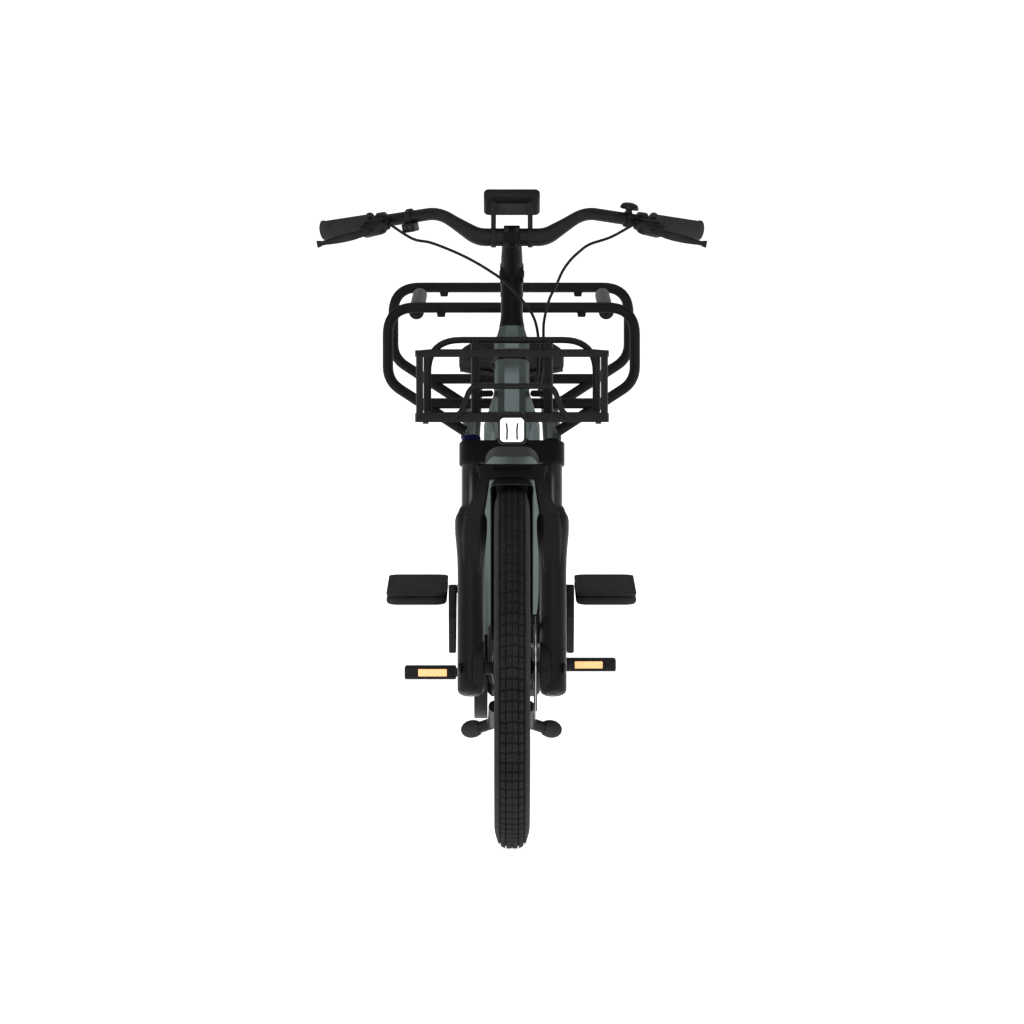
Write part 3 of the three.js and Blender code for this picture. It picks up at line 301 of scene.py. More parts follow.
# The amber reflectors glow at 0.5: painted light standing in for the light a reflector sends back.
AMBER_PAINTED_GLOW = reflector("amber_reflector_painted_glow", (0.9, 0.36, 0.09), (1.0, 0.62, 0.26), 0.5)
RED = reflector("red_reflector", (0.3, 0.01, 0.008), (0.6, 0.03, 0.02), 0.1)
LAMP = lamp_glass()
SCREEN = screen_glass()
SHADOW = moulded_plastic("recess_shadow", 0.002)
TRAY = moulded_plastic("footrest_plastic", 0.026, 900, 0.8, 0.03)
CARRIER = powder_coat("carrier_black_coat", 0.004, 0.5)
STEM = anodised("stem_black_alloy", grey(0.004), 0.5)

# ---------------------------------------------------------------- piece helpers


def mesh_of(bm, name):
    mesh = bpy.data.meshes.new(name)
    bm.to_mesh(mesh)
    bm.free()
    return mesh


def link(name, mesh, *materials):
    piece = bpy.data.objects.new(name, mesh)
    bpy.context.scene.collection.objects.link(piece)
    for material in materials:
        mesh.materials.append(material)
    return piece


def finish_piece(piece, body, replaced=()):
    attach(piece, body)
    if replaced:
        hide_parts(*replaced)


def smooth(piece, degrees):
    mesh = piece.data
    mesh.shade_smooth()
    limit = math.radians(degrees)
    bm = bmesh.new()
    bm.from_mesh(mesh)
    for edge in bm.edges:
        if len(edge.link_faces) == 2:
            edge.smooth = edge.calc_face_angle(0) < limit
    bm.to_mesh(mesh)
    bm.free()
    return piece


def bevelled(piece, width, segments=2, degrees=35):
    made = piece.modifiers.new("edges", "BEVEL")
    made.width = width * MM
    made.segments = segments
    made.limit_method = "ANGLE"
    made.angle_limit = math.radians(degrees)
    made.harden_normals = True
    piece.data.shade_smooth()
    return piece


def refined(node, material, body, bevel):
    """A copy of a CAD node in its place, with flat triangles joined and edges rounded."""
    bm = bmesh.new()
    bm.from_mesh(frame["nodes"][node].data)
    bmesh.ops.remove_doubles(bm, verts=bm.verts, dist=WELD)
    bmesh.ops.dissolve_limit(
        bm, angle_limit=math.radians(2), verts=bm.verts, edges=bm.edges, delimit=set()
    )
    name = node + "_fine"
    piece = bevelled(link(name, mesh_of(bm, name), material), bevel, degrees=28)
    finish_piece(piece, body, (node,))


def bend(points, radius, steps=10):
    """The points of a path with each inner corner rounded to the radius, in millimetres."""
    made = [points[0]]
    for before, corner, after in zip(points, points[1:], points[2:]):
        back = before - corner
        ahead = after - corner
        turn = math.pi - back.angle(ahead)
        reach = min(radius * MM * math.tan(turn / 2), back.length / 2.05, ahead.length / 2.05)
        start = corner + back.normalized() * reach
        end = corner + ahead.normalized() * reach
        for i in range(steps + 1):
            t = i / steps
            made.append(start * (1 - t) ** 2 + corner * 2 * t * (1 - t) + end * t**2)
    made.append(points[-1])
    return made


def smooth_route(points, steps):
    """A Catmull-Rom curve through the points."""
    padded = [points[0] * 2 - points[1], *points, points[-1] * 2 - points[-2]]
    made = []
    for a, b, c, d in zip(padded, padded[1:], padded[2:], padded[3:]):
        square = 2 * a - 5 * b + 4 * c - d
        cube = 3 * b - a - 3 * c + d
        for i in range(steps):
            t = i / steps
            made.append(0.5 * (2 * b + (c - a) * t + square * t**2 + cube * t**3))
    made.append(points[-1])
    return made


def sweep_rings(path, section):
    """Rings of a cross-section carried along a path without twisting. section is [(x, y)] in metres."""
    ends = zip([path[0], *path], [*path[1:], path[-1]])
    tangents = [(after - before).normalized() for before, after in ends]
    axis = ACROSS if abs(tangents[0].x) < 0.8 else RISE
    side = (axis - tangents[0] * axis.dot(tangents[0])).normalized()
    rings = []
    for here, tangent in zip(path, tangents):
        side = (side - tangent * side.dot(tangent)).normalized()
        up = tangent.cross(side)
        rings.append([here + side * x + up * y for x, y in section])
    return rings


def skin(name, rings, material, closed=False):
    """A mesh over a list of rings, either closed into a hoop or capped at both ends."""
    bm = bmesh.new()
    rows = [[bm.verts.new(p) for p in ring] for ring in rings]
    pairs = list(zip(rows, rows[1:]))
    if closed:
        pairs.append((rows[-1], rows[0]))
    for low, high in pairs:
        for i in range(len(low)):
            j = (i + 1) % len(low)
            bm.faces.new((low[i], low[j], high[j], high[i]))
    if not closed:
        bm.faces.new(rows[0][::-1])
        bm.faces.new(rows[-1])
    bmesh.ops.recalc_face_normals(bm, faces=bm.faces)
    return link(name, mesh_of(bm, name), material)


def circle(radius, sides):
    turn = 2 * math.pi / sides
    return [(radius * MM * math.cos(turn * i), radius * MM * math.sin(turn * i)) for i in range(sides)]


def tube(name, path, radius, material, sides=24):
    return smooth(skin(name, sweep_rings(path, circle(radius, sides)), material), 50)


def lathe(name, centre, axis, profile, material, sides=96):
    """A profile of (radius, along) pairs in millimetres turned round an axis; radius 0 closes an end."""
    axis = axis.normalized()
    side = axis.orthogonal().normalized()
    up = axis.cross(side)
    rings = []
    for radius, along in profile:
        ring = []
        for i in range(sides):
            angle = 2 * math.pi * i / sides
            out = side * math.cos(angle) + up * math.sin(angle)
            ring.append(centre + axis * along * MM + out * max(radius, 0.01) * MM)
        rings.append(ring)
    return smooth(skin(name, rings, material), 32)


def joined(name, pieces):
    """One mesh piece out of several, each keeping its own material."""
    bm = bmesh.new()
    materials = []
    for piece in pieces:
        start = len(bm.faces)
        bm.from_mesh(piece.data)
        bm.faces.ensure_lookup_table()
        material = piece.data.materials[0]
        if material not in materials:
            materials.append(material)
        for face in bm.faces[start:]:
            face.material_index = materials.index(material)
    mesh = mesh_of(bm, name)
    for piece in pieces:
        bpy.data.objects.remove(piece)
    return link(name, mesh, *materials)


def built(node, pieces, body):
    """Joins the pieces into one that takes a CAD node's place."""
    finish_piece(joined(node + "_fine", pieces), body, (node,))


def block(name, corners, depth, material, bevel, segments=3):
    """A flat outline of points pushed along the depth vector, with rounded edges."""
    bm = bmesh.new()
    near = [bm.verts.new(p) for p in corners]
    far = [bm.verts.new(p + depth) for p in corners]
    count = len(corners)
    for i in range(count):
        j = (i + 1) % count
        bm.faces.new((near[i], near[j], far[j], far[i]))
    bm.faces.new(near[::-1])
    bm.faces.new(far)
    bmesh.ops.recalc_face_normals(bm, faces=bm.faces)
    piece = link(name, mesh_of(bm, name), material)
    if bevel:
        bevelled(piece, bevel, segments)
    return piece


def applied(piece):
    """Bakes the modifiers into the mesh, so that the piece can be joined to others."""
    graph = bpy.context.evaluated_depsgraph_get()
    mesh = bpy.data.meshes.new_from_object(piece.evaluated_get(graph))
    piece.modifiers.clear()
    piece.data = mesh
    return piece


def solid(*said):
    """A block with its rounded edges baked in."""
    return applied(block(*said))


def cut_away(piece, tool):
    """Takes the tool's shape out of the piece."""
    made = piece.modifiers.new("cut", "BOOLEAN")
    made.operation = "DIFFERENCE"
    made.solver = "EXACT"
    made.object = tool
    applied(piece)
    bpy.data.objects.remove(tool)


def mirrored(half):
    """Half an outline of (x, y) points followed by its mirror image, run back to where it began."""
    return [*half, *[(-x, y) for x, y in reversed(half)]]


def doubled(half):
    """Half a profile of (radius, along) pairs followed by the same in reverse, beyond the middle."""
    return [*half, *[(radius, -along) for radius, along in reversed(half)]]


def rounded_outline(half_width, half_height, radius, steps=6):
    """The corners of a rounded rectangle in millimetres."""
    made = []
    for cx, cy, start in (
        (half_width - radius, half_height - radius, 0),
        (radius - half_width, half_height - radius, 90),
        (radius - half_width, radius - half_height, 180),
        (half_width - radius, radius - half_height, 270),
    ):
        for i in range(steps + 1):
            angle = math.radians(start + 90 * i / steps)
            made.append((cx + radius * math.cos(angle), cy + radius * math.sin(angle)))
    return made


def side_copy(piece, name):
    """The mirror image of a left-hand piece, for the right."""
    bm = bmesh.new()
    bm.from_mesh(piece.data)
    for vert in bm.verts:
        vert.co.x = -vert.co.x
    bmesh.ops.reverse_faces(bm, faces=bm.faces)
    return link(name, mesh_of(bm, name), *piece.data.materials)


def both_sides(pieces, label, body):
    """Joins the left side's pieces and copies them to the right, in place of the two CAD nodes.

    With no body named, each side rides the body of its own name.
    """
    left = joined(label + "_left_fine", pieces)
    right = side_copy(left, label + "_right_fine")
    for piece, side in ((left, "_left"), (right, "_right")):
        finish_piece(piece, body or label + side, (label + side,))


# ---------------------------------------------------------------- camera, light and floor

CAMERA_DISTANCE = 12.0  # ahead of the front axle
CAMERA_HEIGHT = 1.681
CAMERA_PITCH = 5.2
CAMERA_SIDE = -0.0134
FOCAL_LENGTH = 242.96
STUDIO_GLOW = 0.96  # brings the floor and wall up to white whatever light falls on them
FLOOR_REACH = 60
WALL_HEIGHT = 10


def stand_camera():
    data = bpy.data.cameras.new("camera")
    data.lens = FOCAL_LENGTH
    data.sensor_width = 36
    data.clip_end = 200
    camera = bpy.data.objects.new("camera", data)
    camera.location = (CAMERA_SIDE, FRONT_AXLE.y - CAMERA_DISTANCE, CAMERA_HEIGHT)
    camera.rotation_euler = (math.radians(90 - CAMERA_PITCH), 0, CAMERA_SIDE / CAMERA_DISTANCE)
    bpy.context.scene.collection.objects.link(camera)
    bpy.context.scene.camera = camera


def soft_box(name, place, target, size, power):
    data = bpy.data.lights.new(name, "AREA")
    data.shape = "RECTANGLE"
    data.size, data.size_y = size
    data.energy = power
    lamp = bpy.data.objects.new(name, data)
    lamp.location = place
    lamp.rotation_euler = (Vector(target) - Vector(place)).to_track_quat("-Z", "Y").to_euler()
    bpy.context.scene.collection.objects.link(lamp)


def light_studio():
    world = bpy.data.worlds.new("studio")
    world.use_nodes = True
    world.node_tree.nodes["Background"].inputs["Color"].default_value = (1, 1, 1, 1)
    world.node_tree.nodes["Background"].inputs["Strength"].default_value = 0.14
    bpy.context.scene.world = world
    bpy.context.scene.view_settings.view_transform = "Standard"
    soft_box("ceiling", (0, 0.5, 6.5), (0, 0.5, 0), (13, 13), 300)
    soft_box("left_box", (-4.0, -1.2, 1.6), (0, -0.4, 0.7), (0.6, 3.0), 7)
    soft_box("right_box", (4.0, -1.2, 1.6), (0, -0.4, 0.7), (0.6, 3.0), 6)
    soft_box("front_box", (-0.3, -6.0, 4.8), (0, -0.5, 0.7), (4.6, 3.6), 118)


def white_sheet(name, corners, faces):
    """A glowing white surface of the studio."""
    mesh = bpy.data.meshes.new(name)
    mesh.from_pydata(corners, [], faces)
    p = Paint(name, 0.8, specular=0.05)
    p.colour(p.noise(2), grey(0.93), grey(0.95))
    p.glow(grey(1), STUDIO_GLOW)
    link(name, mesh, p.material)


def lay_floor():
    """A round white floor with a low white wall round its edge."""
    count = 48
    turns = [2 * math.pi * i / count for i in range(count)]
    rim = [(FLOOR_REACH * math.cos(t), FLOOR_REACH * math.sin(t), 0) for t in turns]
    top = [(x, y, WALL_HEIGHT) for x, y, _ in rim]
    white_sheet("studio_floor", rim, [tuple(range(count))])
    sides = [(i, (i + 1) % count, (i + 1) % count + count, i + count) for i in range(count)]
    white_sheet("studio_wall", rim + top, sides)


stand_camera()
light_studio()
lay_floor()

# ---------------------------------------------------------------- wheels

TYRE_RADIUS = 315.5
TYRE_HALF = 31
BEAD_SIDE = 14
BEAD_RADIUS = 260
PITCHES = 104
STEPS_PER_PITCH = 8
GROOVE = 4.2
MIDDLE_GROOVE = 1.6
RIB_EDGE = 10.8  # from the middle to the groove beside the centre rib
SIDE_EDGE = 20.8  # and to the groove that ends the side blocks
CHEVRON = 0.16  # how far a centre chevron's arms lean, in pitches
# distances from the middle at which the crown has a row of points
CROWN_ROWS = (0.5, 1.3, 4.5, 7.5, 9.7, 10.1, 11.5, 11.9, 14.5, 17.5, 19.8, 20.2, 21.4, 21.8, 23.5, 25.0)
GROOVE_ROWS = (0.5, 10.1, 11.5, 20.2, 21.4)
SHOULDER_DEGREES = (56, 62, 68, 76, 84, 92, 102, 112, 122)


def crown_radius(side):
    """The tyre's radius at a distance from its middle: nearly flat, then round into the shoulder."""
    return TYRE_RADIUS - 24 * (side / TYRE_HALF) ** 3.6


def tyre_rows():
    """(x, radius, groove depth, lean in pitches, cut) for each row of points, from one bead to the other."""
    half = []
    for side in CROWN_ROWS:
        groove = GROOVE if side in GROOVE_ROWS else 0
        groove = MIDDLE_GROOVE if side == CROWN_ROWS[0] else groove
        lean = CHEVRON * min(side, RIB_EDGE) / RIB_EDGE
        cut = 0.8 * GROOVE if 1 < side < SIDE_EDGE else 0
        half.append((side, crown_radius(side), groove, lean, cut))
    edge_side = CROWN_ROWS[-1]
    edge = crown_radius(edge_side)
    bulge = TYRE_HALF - edge_side
    for degrees in SHOULDER_DEGREES:
        share = (degrees - 50) / 72
        side = edge_side + bulge * math.sin(min(share * 1.7, 1) * math.pi / 2) - 8 * max(0, share - 0.6)
        half.append((side, edge - 44 * share - 2 * math.sin(math.radians(degrees)), 0, CHEVRON, 0))
    half.append((BEAD_SIDE, BEAD_RADIUS, 0, CHEVRON, 0))
    return [(-x, *rest) for x, *rest in reversed(half)] + half


def tyre(name, axle, body, node):
    pitch = 2 * math.pi / PITCHES
    rows = tyre_rows()
    rings = []
    for i in range(PITCHES * STEPS_PER_PITCH):
        cutting = i % STEPS_PER_PITCH == 0
        ring = []
        for x, radius, groove, lean, cut in rows:
            depth = max(groove, cut if cutting else 0)
            ring.append(on_wheel(axle, x, radius - depth, pitch * (i / STEPS_PER_PITCH + lean)))
        rings.append(ring)
    piece = smooth(skin(name, rings, TYRE, closed=True), 28)
    finish_piece(piece, body, (node,))


SPOKES = 32
SPOKE_LEAD = 0.9  # how far round a spoke runs between rim and hub, in radians
NIPPLE_LENGTH = 14
RIM_BED = 234
FLANGE_X = 30
# the rim's cross-section as (radius, x)
RIM = [
    (259, -17), (262, -16.5), (262, -15), (255, -14), (253, -6), (253, 6), (255, 14), (262, 15),
    (262, 16.5), (259, 17), (247, 17.5), (238, 12), (232.5, 5), (232, 0), (232.5, -5), (238, -12),
    (247, -17.5),
]


def rim(name, axle):
    sides = 120
    turns = [2 * math.pi * i / sides for i in range(sides)]
    rings = [[on_wheel(axle, x, r, turn) for r, x in RIM] for turn in turns]
    return smooth(skin(name, rings, SATIN_ALLOY, closed=True), 30)


def spokes(name, axle, flange_radius):
    """Spokes crossed in fours, from alternate flanges to nipples at the rim's bed."""
    made = []
    for i in range(SPOKES):
        side = 1 if i % 2 else -1
        lead = SPOKE_LEAD if i % 4 < 2 else -SPOKE_LEAD
        turn = 2 * math.pi * (i + 0.5) / SPOKES
        hub_end = on_wheel(axle, side * FLANGE_X, flange_radius, turn + lead)
        rim_end = on_wheel(axle, side * 3, RIM_BED, turn)
        neck = rim_end + (hub_end - rim_end).normalized() * NIPPLE_LENGTH * MM
        made.append(tube("spoke", [hub_end, neck], 1.0, STEEL, 8))
        made.append(tube("nipple", [neck, rim_end], 2.1, ALLOY, 8))
    return joined(name, made)


def hub(name, axle, shell, flange, end, end_radius):
    half = [
        (end_radius, -end), (end_radius, -FLANGE_X - 6), (flange * 0.6, -FLANGE_X - 5),
        (flange + 3, -FLANGE_X - 2.5), (flange + 4, -FLANGE_X), (flange + 3, -FLANGE_X + 2.5),
        (shell, -FLANGE_X + 9),
    ]
    return lathe(name, axle, ACROSS, doubled([(0, -end), *half]), SATIN_ALLOY)


def valve(name, axle):
    ends = [on_wheel(axle, 0, radius, math.radians(250)) for radius in (233, 196)]
    return tube(name, ends, 2.6, STEEL, 12)


def wheel(label, axle, shell, flange, end, end_radius):
    """A tyre, and a rim with its hub, spokes and valve, on the body that carries the wheel's name."""
    body = label + "_wheel"
    tyre(label + "_tyre_tread", axle, body, label + "_tyre")
    whole = joined(
        label + "_spoked_wheel",
        [
            rim("rim", axle),
            hub("hub", axle, shell, flange, end, end_radius),
            spokes("spokes", axle, flange),
            valve("valve", axle),
        ],
    )
    finish_piece(whole, body, (body,))


wheel("front", FRONT_AXLE, shell=15, flange=25, end=47.8, end_radius=11)
wheel("rear", REAR_AXLE, shell=46, flange=52, end=73.5, end_radius=15)

ROTOR_X = 41
ROTOR_HALF = 0.9
ROTOR_WAVES = 18


def rotor():
    """The brake rotor: a band with a scalloped edge, on six arms and a carrier."""
    sides = 192
    outer = []
    inner = []
    for i in range(sides):
        angle = 2 * math.pi * i / sides
        wave = math.cos(angle * ROTOR_WAVES)
        outer.append((89.8 - 1.2 * max(0, wave), angle))
        inner.append((74.5 + 1.5 * wave, angle))
    rings = [
        [on_wheel(FRONT_AXLE, ROTOR_X + half, r, angle) for r, angle in edge]
        for edge, half in (
            (outer, -ROTOR_HALF), (outer, ROTOR_HALF), (inner, ROTOR_HALF), (inner, -ROTOR_HALF)
        )
    ]
    band = skin("rotor_band", rings, STEEL, closed=True)
    arms = []
    for degrees in range(0, 360, 60):
        near = on_wheel(FRONT_AXLE, ROTOR_X, 22, math.radians(degrees))
        far = on_wheel(FRONT_AXLE, ROTOR_X, 75.5, math.radians(degrees + 24))
        arms.append(tube("arm", [near, far], 3.2, SATIN_ALLOY, 10))
    profile = [(11.5, 39.5), (26, 39.5), (27, 41), (26, 42.5), (11.5, 42.5)]
    carrier = lathe("rotor_carrier", FRONT_AXLE, ACROSS, profile, SATIN_ALLOY, 64)
    smooth(band, 30)
    piece = joined("front_rotor_fine", [band, carrier, *arms])
    finish_piece(piece, "front_wheel", ("front_brake_rotor",))


rotor()

# ---------------------------------------------------------------- mudguards


GUARD_RADIUS = 327.5  # to the underside of its middle


def mudguard(label, axle, start, end, body):
    """A rounded channel round part of a wheel, between two angles up from straight back."""
    node = label + "_mudguard"
    section = [
        (-38, -22), (-37.2, -10), (-34.5, -3), (-29, 1.8), (-20, 3), (20, 3), (29, 1.8), (34.5, -3),
        (37.2, -10), (38, -22), (36.2, -22), (35.2, -10.5), (32.6, -4.5), (27.5, -0.6), (20, 0),
        (-20, 0), (-27.5, -0.6), (-32.6, -4.5), (-35.2, -10.5), (-36.2, -22),
    ]
    rings = []
    steps = 72
    for i in range(steps + 1):
        t = i / steps
        angle = math.radians(start + (end - start) * t)
        # the sides taper away over the last few degrees of each end
        taper = min(1, 10 * min(t, 1 - t) + 0.35)
        points = [(x, GUARD_RADIUS + (rise if rise > 0 else rise * taper)) for x, rise in section]
        rings.append([on_wheel(axle, x, radius, angle) for x, radius in points])
    piece = smooth(skin(node + "_fine", rings, SMOOTH_PLASTIC), 30)
    finish_piece(piece, body, (node,))


mudguard("front", FRONT_AXLE, start=2, end=98, body="fork_lowers")
mudguard("rear", REAR_AXLE, start=18, end=158, body="frame")


def mudguard_stays():
    """A thin stay on each side, from the rear mudguard's edge down to the dropout."""
    foot = at(76, 1345, 325)
    for side, label in ((-1, "right"), (1, "left")):
        top = on_wheel(REAR_AXLE, side * 38.5, 322, math.radians(35))
        low = Vector((side * foot.x, foot.y, foot.z))
        path = smooth_route([top, (top + low) / 2 + ACROSS * side * 2 * MM, low], 5)
        finish_piece(tube("rear_guard_stay_" + label, path, 1.9, ALLOY, 12), "frame")


mudguard_stays()

# ---------------------------------------------------------------- fork

# the fork's legs and crown, in millimetres on the steering axis
LEG_X = 72
LEG_Y = -28
LEG_RADIUS = 21
UP = STEER_UP
CROWN_LOW = 371
CROWN_HIGH = 412
CROWN_OPENING_TOP = 400.2


def crown():
    """The crown with its arched opening, the race above it, two stanchions and the left leg's cap."""
    outline = []
    for side, start in ((1, -90), (-1, 90)):
        for i in range(13):
            angle = math.radians(start + 180 * i / 12)
            x = side * LEG_X + LEG_RADIUS * math.cos(angle)
            outline.append((x, LEG_Y + LEG_RADIUS * math.sin(angle)))
        bulge = [(32, 10), (24, 22), (-24, 22), (-32, 10)] if side > 0 else []
        outline.extend(bulge)
    corners = [on_fork(x, y, CROWN_LOW) for x, y in outline]
    body = block("crown", corners, UP * (CROWN_HIGH - CROWN_LOW) * MM, FORK, 0)
    corner = 27
    half = 47.2
    arch = [(-half, CROWN_LOW - 8), (half, CROWN_LOW - 8)]
    for side, start in ((1, 0), (-1, 90)):
        for i in range(10):
            angle = math.radians(start + 10 * i)
            x = side * (half - corner) + corner * math.cos(angle)
            arch.append((x, CROWN_OPENING_TOP - corner + corner * math.sin(angle)))
    opening = block("opening", [on_fork(x, -64, s) for x, s in arch], STEER_BACK * 104 * MM, FORK, 0)
    cut_away(body, opening)
    bevelled(body, 4, 5, 40)
    cup = lathe(
        "crown_race",
        on_fork(0, 0, CROWN_HIGH),
        UP,
        [(0, -1), (27, -1), (28, 3), (28, 8), (26, 11.6), (0, 11.6)],
        FORK,
    )
    finish_piece(body, "steering", ("fork_crown",))
    finish_piece(cup, "steering")
    for side, label in ((-1, "right"), (1, "left")):
        stanchion = lathe(
            "stanchion_" + label,
            on_fork(side * LEG_X, LEG_Y, 216),
            UP,
            [(0, 0), (17, 0), (17, CROWN_LOW - 214), (0, CROWN_LOW - 214)],
            anodised("stanchion_finish_" + label, grey(0.05), 0.16),
        )
        finish_piece(stanchion, "steering")
    cap = lathe(
        "preload_cap",
        on_fork(LEG_X, LEG_Y, CROWN_HIGH),
        UP,
        [(0, 0.2), (15, 0.2), (15, 4), (13, 6), (6, 6), (5, 4), (0, 4)],
        SATIN_ALLOY,
    )
    finish_piece(cap, "steering")


def lockout_knob():
    profile = [(0, 0.5), (16, 0.5), (17, 1.5), (17, 9), (16, 11.5), (12, 13.5), (0, 14)]
    knob = lathe("knob", on_fork(-LEG_X, LEG_Y, CROWN_HIGH), UP, profile, BLUE)
    plan = [(-18, -3), (6, -3), (6, 3), (-18, 3)]
    corners = [on_fork(x - LEG_X, LEG_Y + y, CROWN_HIGH + 8) for x, y in plan]
    fin = block("fin", corners, UP * 5 * MM, BLUE, 0.8)
    piece = joined("lockout_knob_fine", [knob, fin])
    finish_piece(piece, "lockout_knob", ("fork_lockout_knob",))


# sections of a leg's shoulder, down from the arch: height, inner and outer x, and front y
SHOULDERS = (
    (286, 47, 78, -64), (272, 50, 84, -63), (250, 52, 88, -60), (215, 53, 89, -54), (170, 56, 88, -49)
)


def lowers():
    """Both legs with their wipers, dropouts and shoulders, and the arch that joins them in front."""
    legs = []
    for side in (-1, 1):
        profile = [
            (0, -44), (16, -44), (21, -41), (23.4, -36), (23.5, -20), (23.5, 176), (24.4, 206),
            (26.6, 232), (28, 246), (28.4, 256), (28.4, 270), (27, 277), (22.6, 286), (21.4, 290),
            (17.6, 290.4), (17.6, 282), (0, 282),
        ]
        base = on_fork(side * LEG_X, LEG_Y, 0)
        legs.append(lathe("leg", base, UP, profile, FORK))
        wiper = [(17.3, 290), (20, 290), (20.4, 292), (18.6, 295), (17.3, 295.4), (17.3, 290)]
        legs.append(lathe("wiper", base, UP, wiper, RUBBER, 64))
        bolt = [(0, -45.5), (6, -45.5), (6.5, -43.6), (0, -43.6)]
        legs.append(lathe("foot_bolt", base, UP, bolt, ALLOY, 32))
        drop = [(-58, -18), (-61, 0), (-58, 20), (-44, 44), (-24, 60), (-24, -38), (-46, -36)]
        corners = [on_fork(side * 48.3, y, s) for y, s in drop]
        legs.append(solid("dropout", corners, ACROSS * side * 19.7 * MM, FORK, 3, 4))
        rings = []
        for s, inner, outer, front in SHOULDERS:
            plan = (
                (inner + 3, front), (outer - 6, front), (outer, front + 8),
                (outer, LEG_Y), (inner, LEG_Y), (inner, front + 4),
            )
            rings.append([on_fork(side * x, y, s) for x, y in plan])
        legs.append(applied(bevelled(skin("shoulder", rings, FORK), 2.4, 3, 20)))
        cap = [(0, 0), (9, 0), (9, 2), (7.5, 3.5), (4, 3.5), (3.4, 1.5), (0, 1.5)]
        legs.append(lathe("axle_cap", on_fork(side * 90, -45, 0), ACROSS * side, cap, ALLOY, 48))
    half = [(84, 272), (80, 284), (73.5, 292), (65, 314), (57.5, 339), (58, 346), (60, 360), (60, 364)]
    inner = [(38.8, 337), (40, 329), (45.4, 292), (50, 272)]
    outline = [*mirrored(half), *[(-x, s) for x, s in reversed(inner)], *inner]
    arch = solid("arch", [on_fork(x, -66, s) for x, s in outline], STEER_BACK * 16 * MM, FORK, 3, 4)
    recess = [(-33, 351.5), (33, 351.5), (34, 358), (-34, 358)]
    corners = [on_fork(x, -66.3, s) for x, s in recess]
    slot_face = solid("arch_slot", corners, STEER_BACK * 2 * MM, SHADOW, 0.4)
    built("fork_lowers", [*legs, arch, slot_face], "fork_lowers")


crown()
lockout_knob()
lowers()
refined("front_brake_caliper", SATIN_ALLOY, "fork_lowers", 2.5)

# ---------------------------------------------------------------- frame

for node in ("down_tube", "top_tube"):
    refined(node, FRAME, "frame", 4.0)
refined("seat_tube", FRAME, "frame", 0.8)
refined("battery_pack", SMOOTH_PLASTIC, "frame", 2.0)
refined("motor_housing", PLASTIC, "frame", 3.0)
refined("chain_case", SMOOTH_PLASTIC, "frame", 2.0)
refined("kickstand_bracket", COAT, "frame", 1.5)


def head_tube():
    """An eight-sided tube with a flat front facet, and a separate stepped cap on top."""
    half = [(13, -30), (25, -22), (31, -8), (31, 18), (20, 31)]
    plan = mirrored(half)
    levels = [
        (424.2, 0.95), (427, 1), (566, 1), (567.5, 0.96), (583.5, 0.96), (585, 1), (604, 1),
        (617, 0.84), (630.8, 0.72),
    ]
    rings = [[on_fork(x * share, y * share, s) for x, y in plan] for s, share in levels]
    shell = applied(bevelled(skin("shell", rings, FRAME), 3.2, 4, 20))
    face = [on_fork(x, -30.6, 498 + s) for x, s in rounded_outline(13.6, 66, 9)]
    facet = solid("facet", face, STEER_BACK * 2 * MM, FRAME, 0.8)
    rings = [[on_fork(x * 0.975, y * 0.975, s) for x, y in plan] for s in (566.4, 584.6)]
    band = skin("band", rings, SHADOW)
    profile = [(0, 0), (7, 0), (7, 2), (5, 4), (0, 4)]
    port = lathe("port", on_fork(-31, -2, 560), -ACROSS, profile, PLASTIC, 48)
    built("head_tube", [shell, facet, band, port], "frame")


def motor_cowl():
    side = [(553, 326), (574, 299), (590, 262), (600, 232), (616, 214), (624, 240), (612, 300), (585, 330)]
    cowl = block("motor_cowl", [at(-43.6, y, z) for y, z in side], Vector((95, 0, 0)) * MM, PLASTIC, 5, 5)
    finish_piece(cowl, "frame")


def upright(outline, centre, y):
    """An outline in millimetres stood across the bicycle round a centre, at a y in metres."""
    return [Vector((centre.x + x * MM, y, centre.z + z * MM)) for x, z in outline]


def tail_light():
    centre, low, high, half = measured("tail_light")
    parts = []
    for name, inset, start, end, material in (
        ("case", 0, low.y, high.y - 0.009, SMOOTH_PLASTIC),
        ("lens", 2, high.y - 0.0095, high.y, RED),
    ):
        outline = rounded_outline(half.x - inset, half.z - inset, 7)
        parts.append(solid(name, upright(outline, centre, start), BACK * (end - start), material, 2))
    built("tail_light", parts, "frame")


head_tube()
motor_cowl()
tail_light()


def rear_frame():
    """Each side's stays, its rail and deck rail with plugs in their ends, and its dropout plate."""
    rails = (
        (84, 632, [(27, 885, 562), (60, 960, 606), (84, 1060, 632)], 60, 11),
        (66, 678.7, [(70, 985, 614), (66, 1030, 678.7)], 40, 9),
    )
    stay = places((40, 797, 348), (60, 890, 372), (82, 1000, 368), (82, 1322, 334))
    pieces = [
        tube("stay", bend(stay, 60), 10, FRAME),
        tube("seat_stay", places((80, 1332, 350), (84, 1262, 632)), 9, FRAME),
    ]
    for x, z, start, corner, radius in rails:
        pieces.append(tube("rail", bend(places(*start, (x, 1733, z)), corner), radius, FRAME))
    plug = [(0, 0), (8.5, 0), (8.5, 1.5), (6, 3), (0, 3.4)]
    for x, z, *_ in rails:
        pieces.append(lathe("plug", at(x, 1733, z), BACK, plug, PLASTIC, 48))
    side = ((1306, 292), (1350, 290), (1362, 328), (1338, 372), (1300, 350))
    pieces.append(solid("dropout", [at(74, y, z) for y, z in side], ACROSS * 8 * MM, FRAME, 1.5))
    both_sides(pieces, "rear_frame", "frame")


rear_frame()

# ---------------------------------------------------------------- carrier

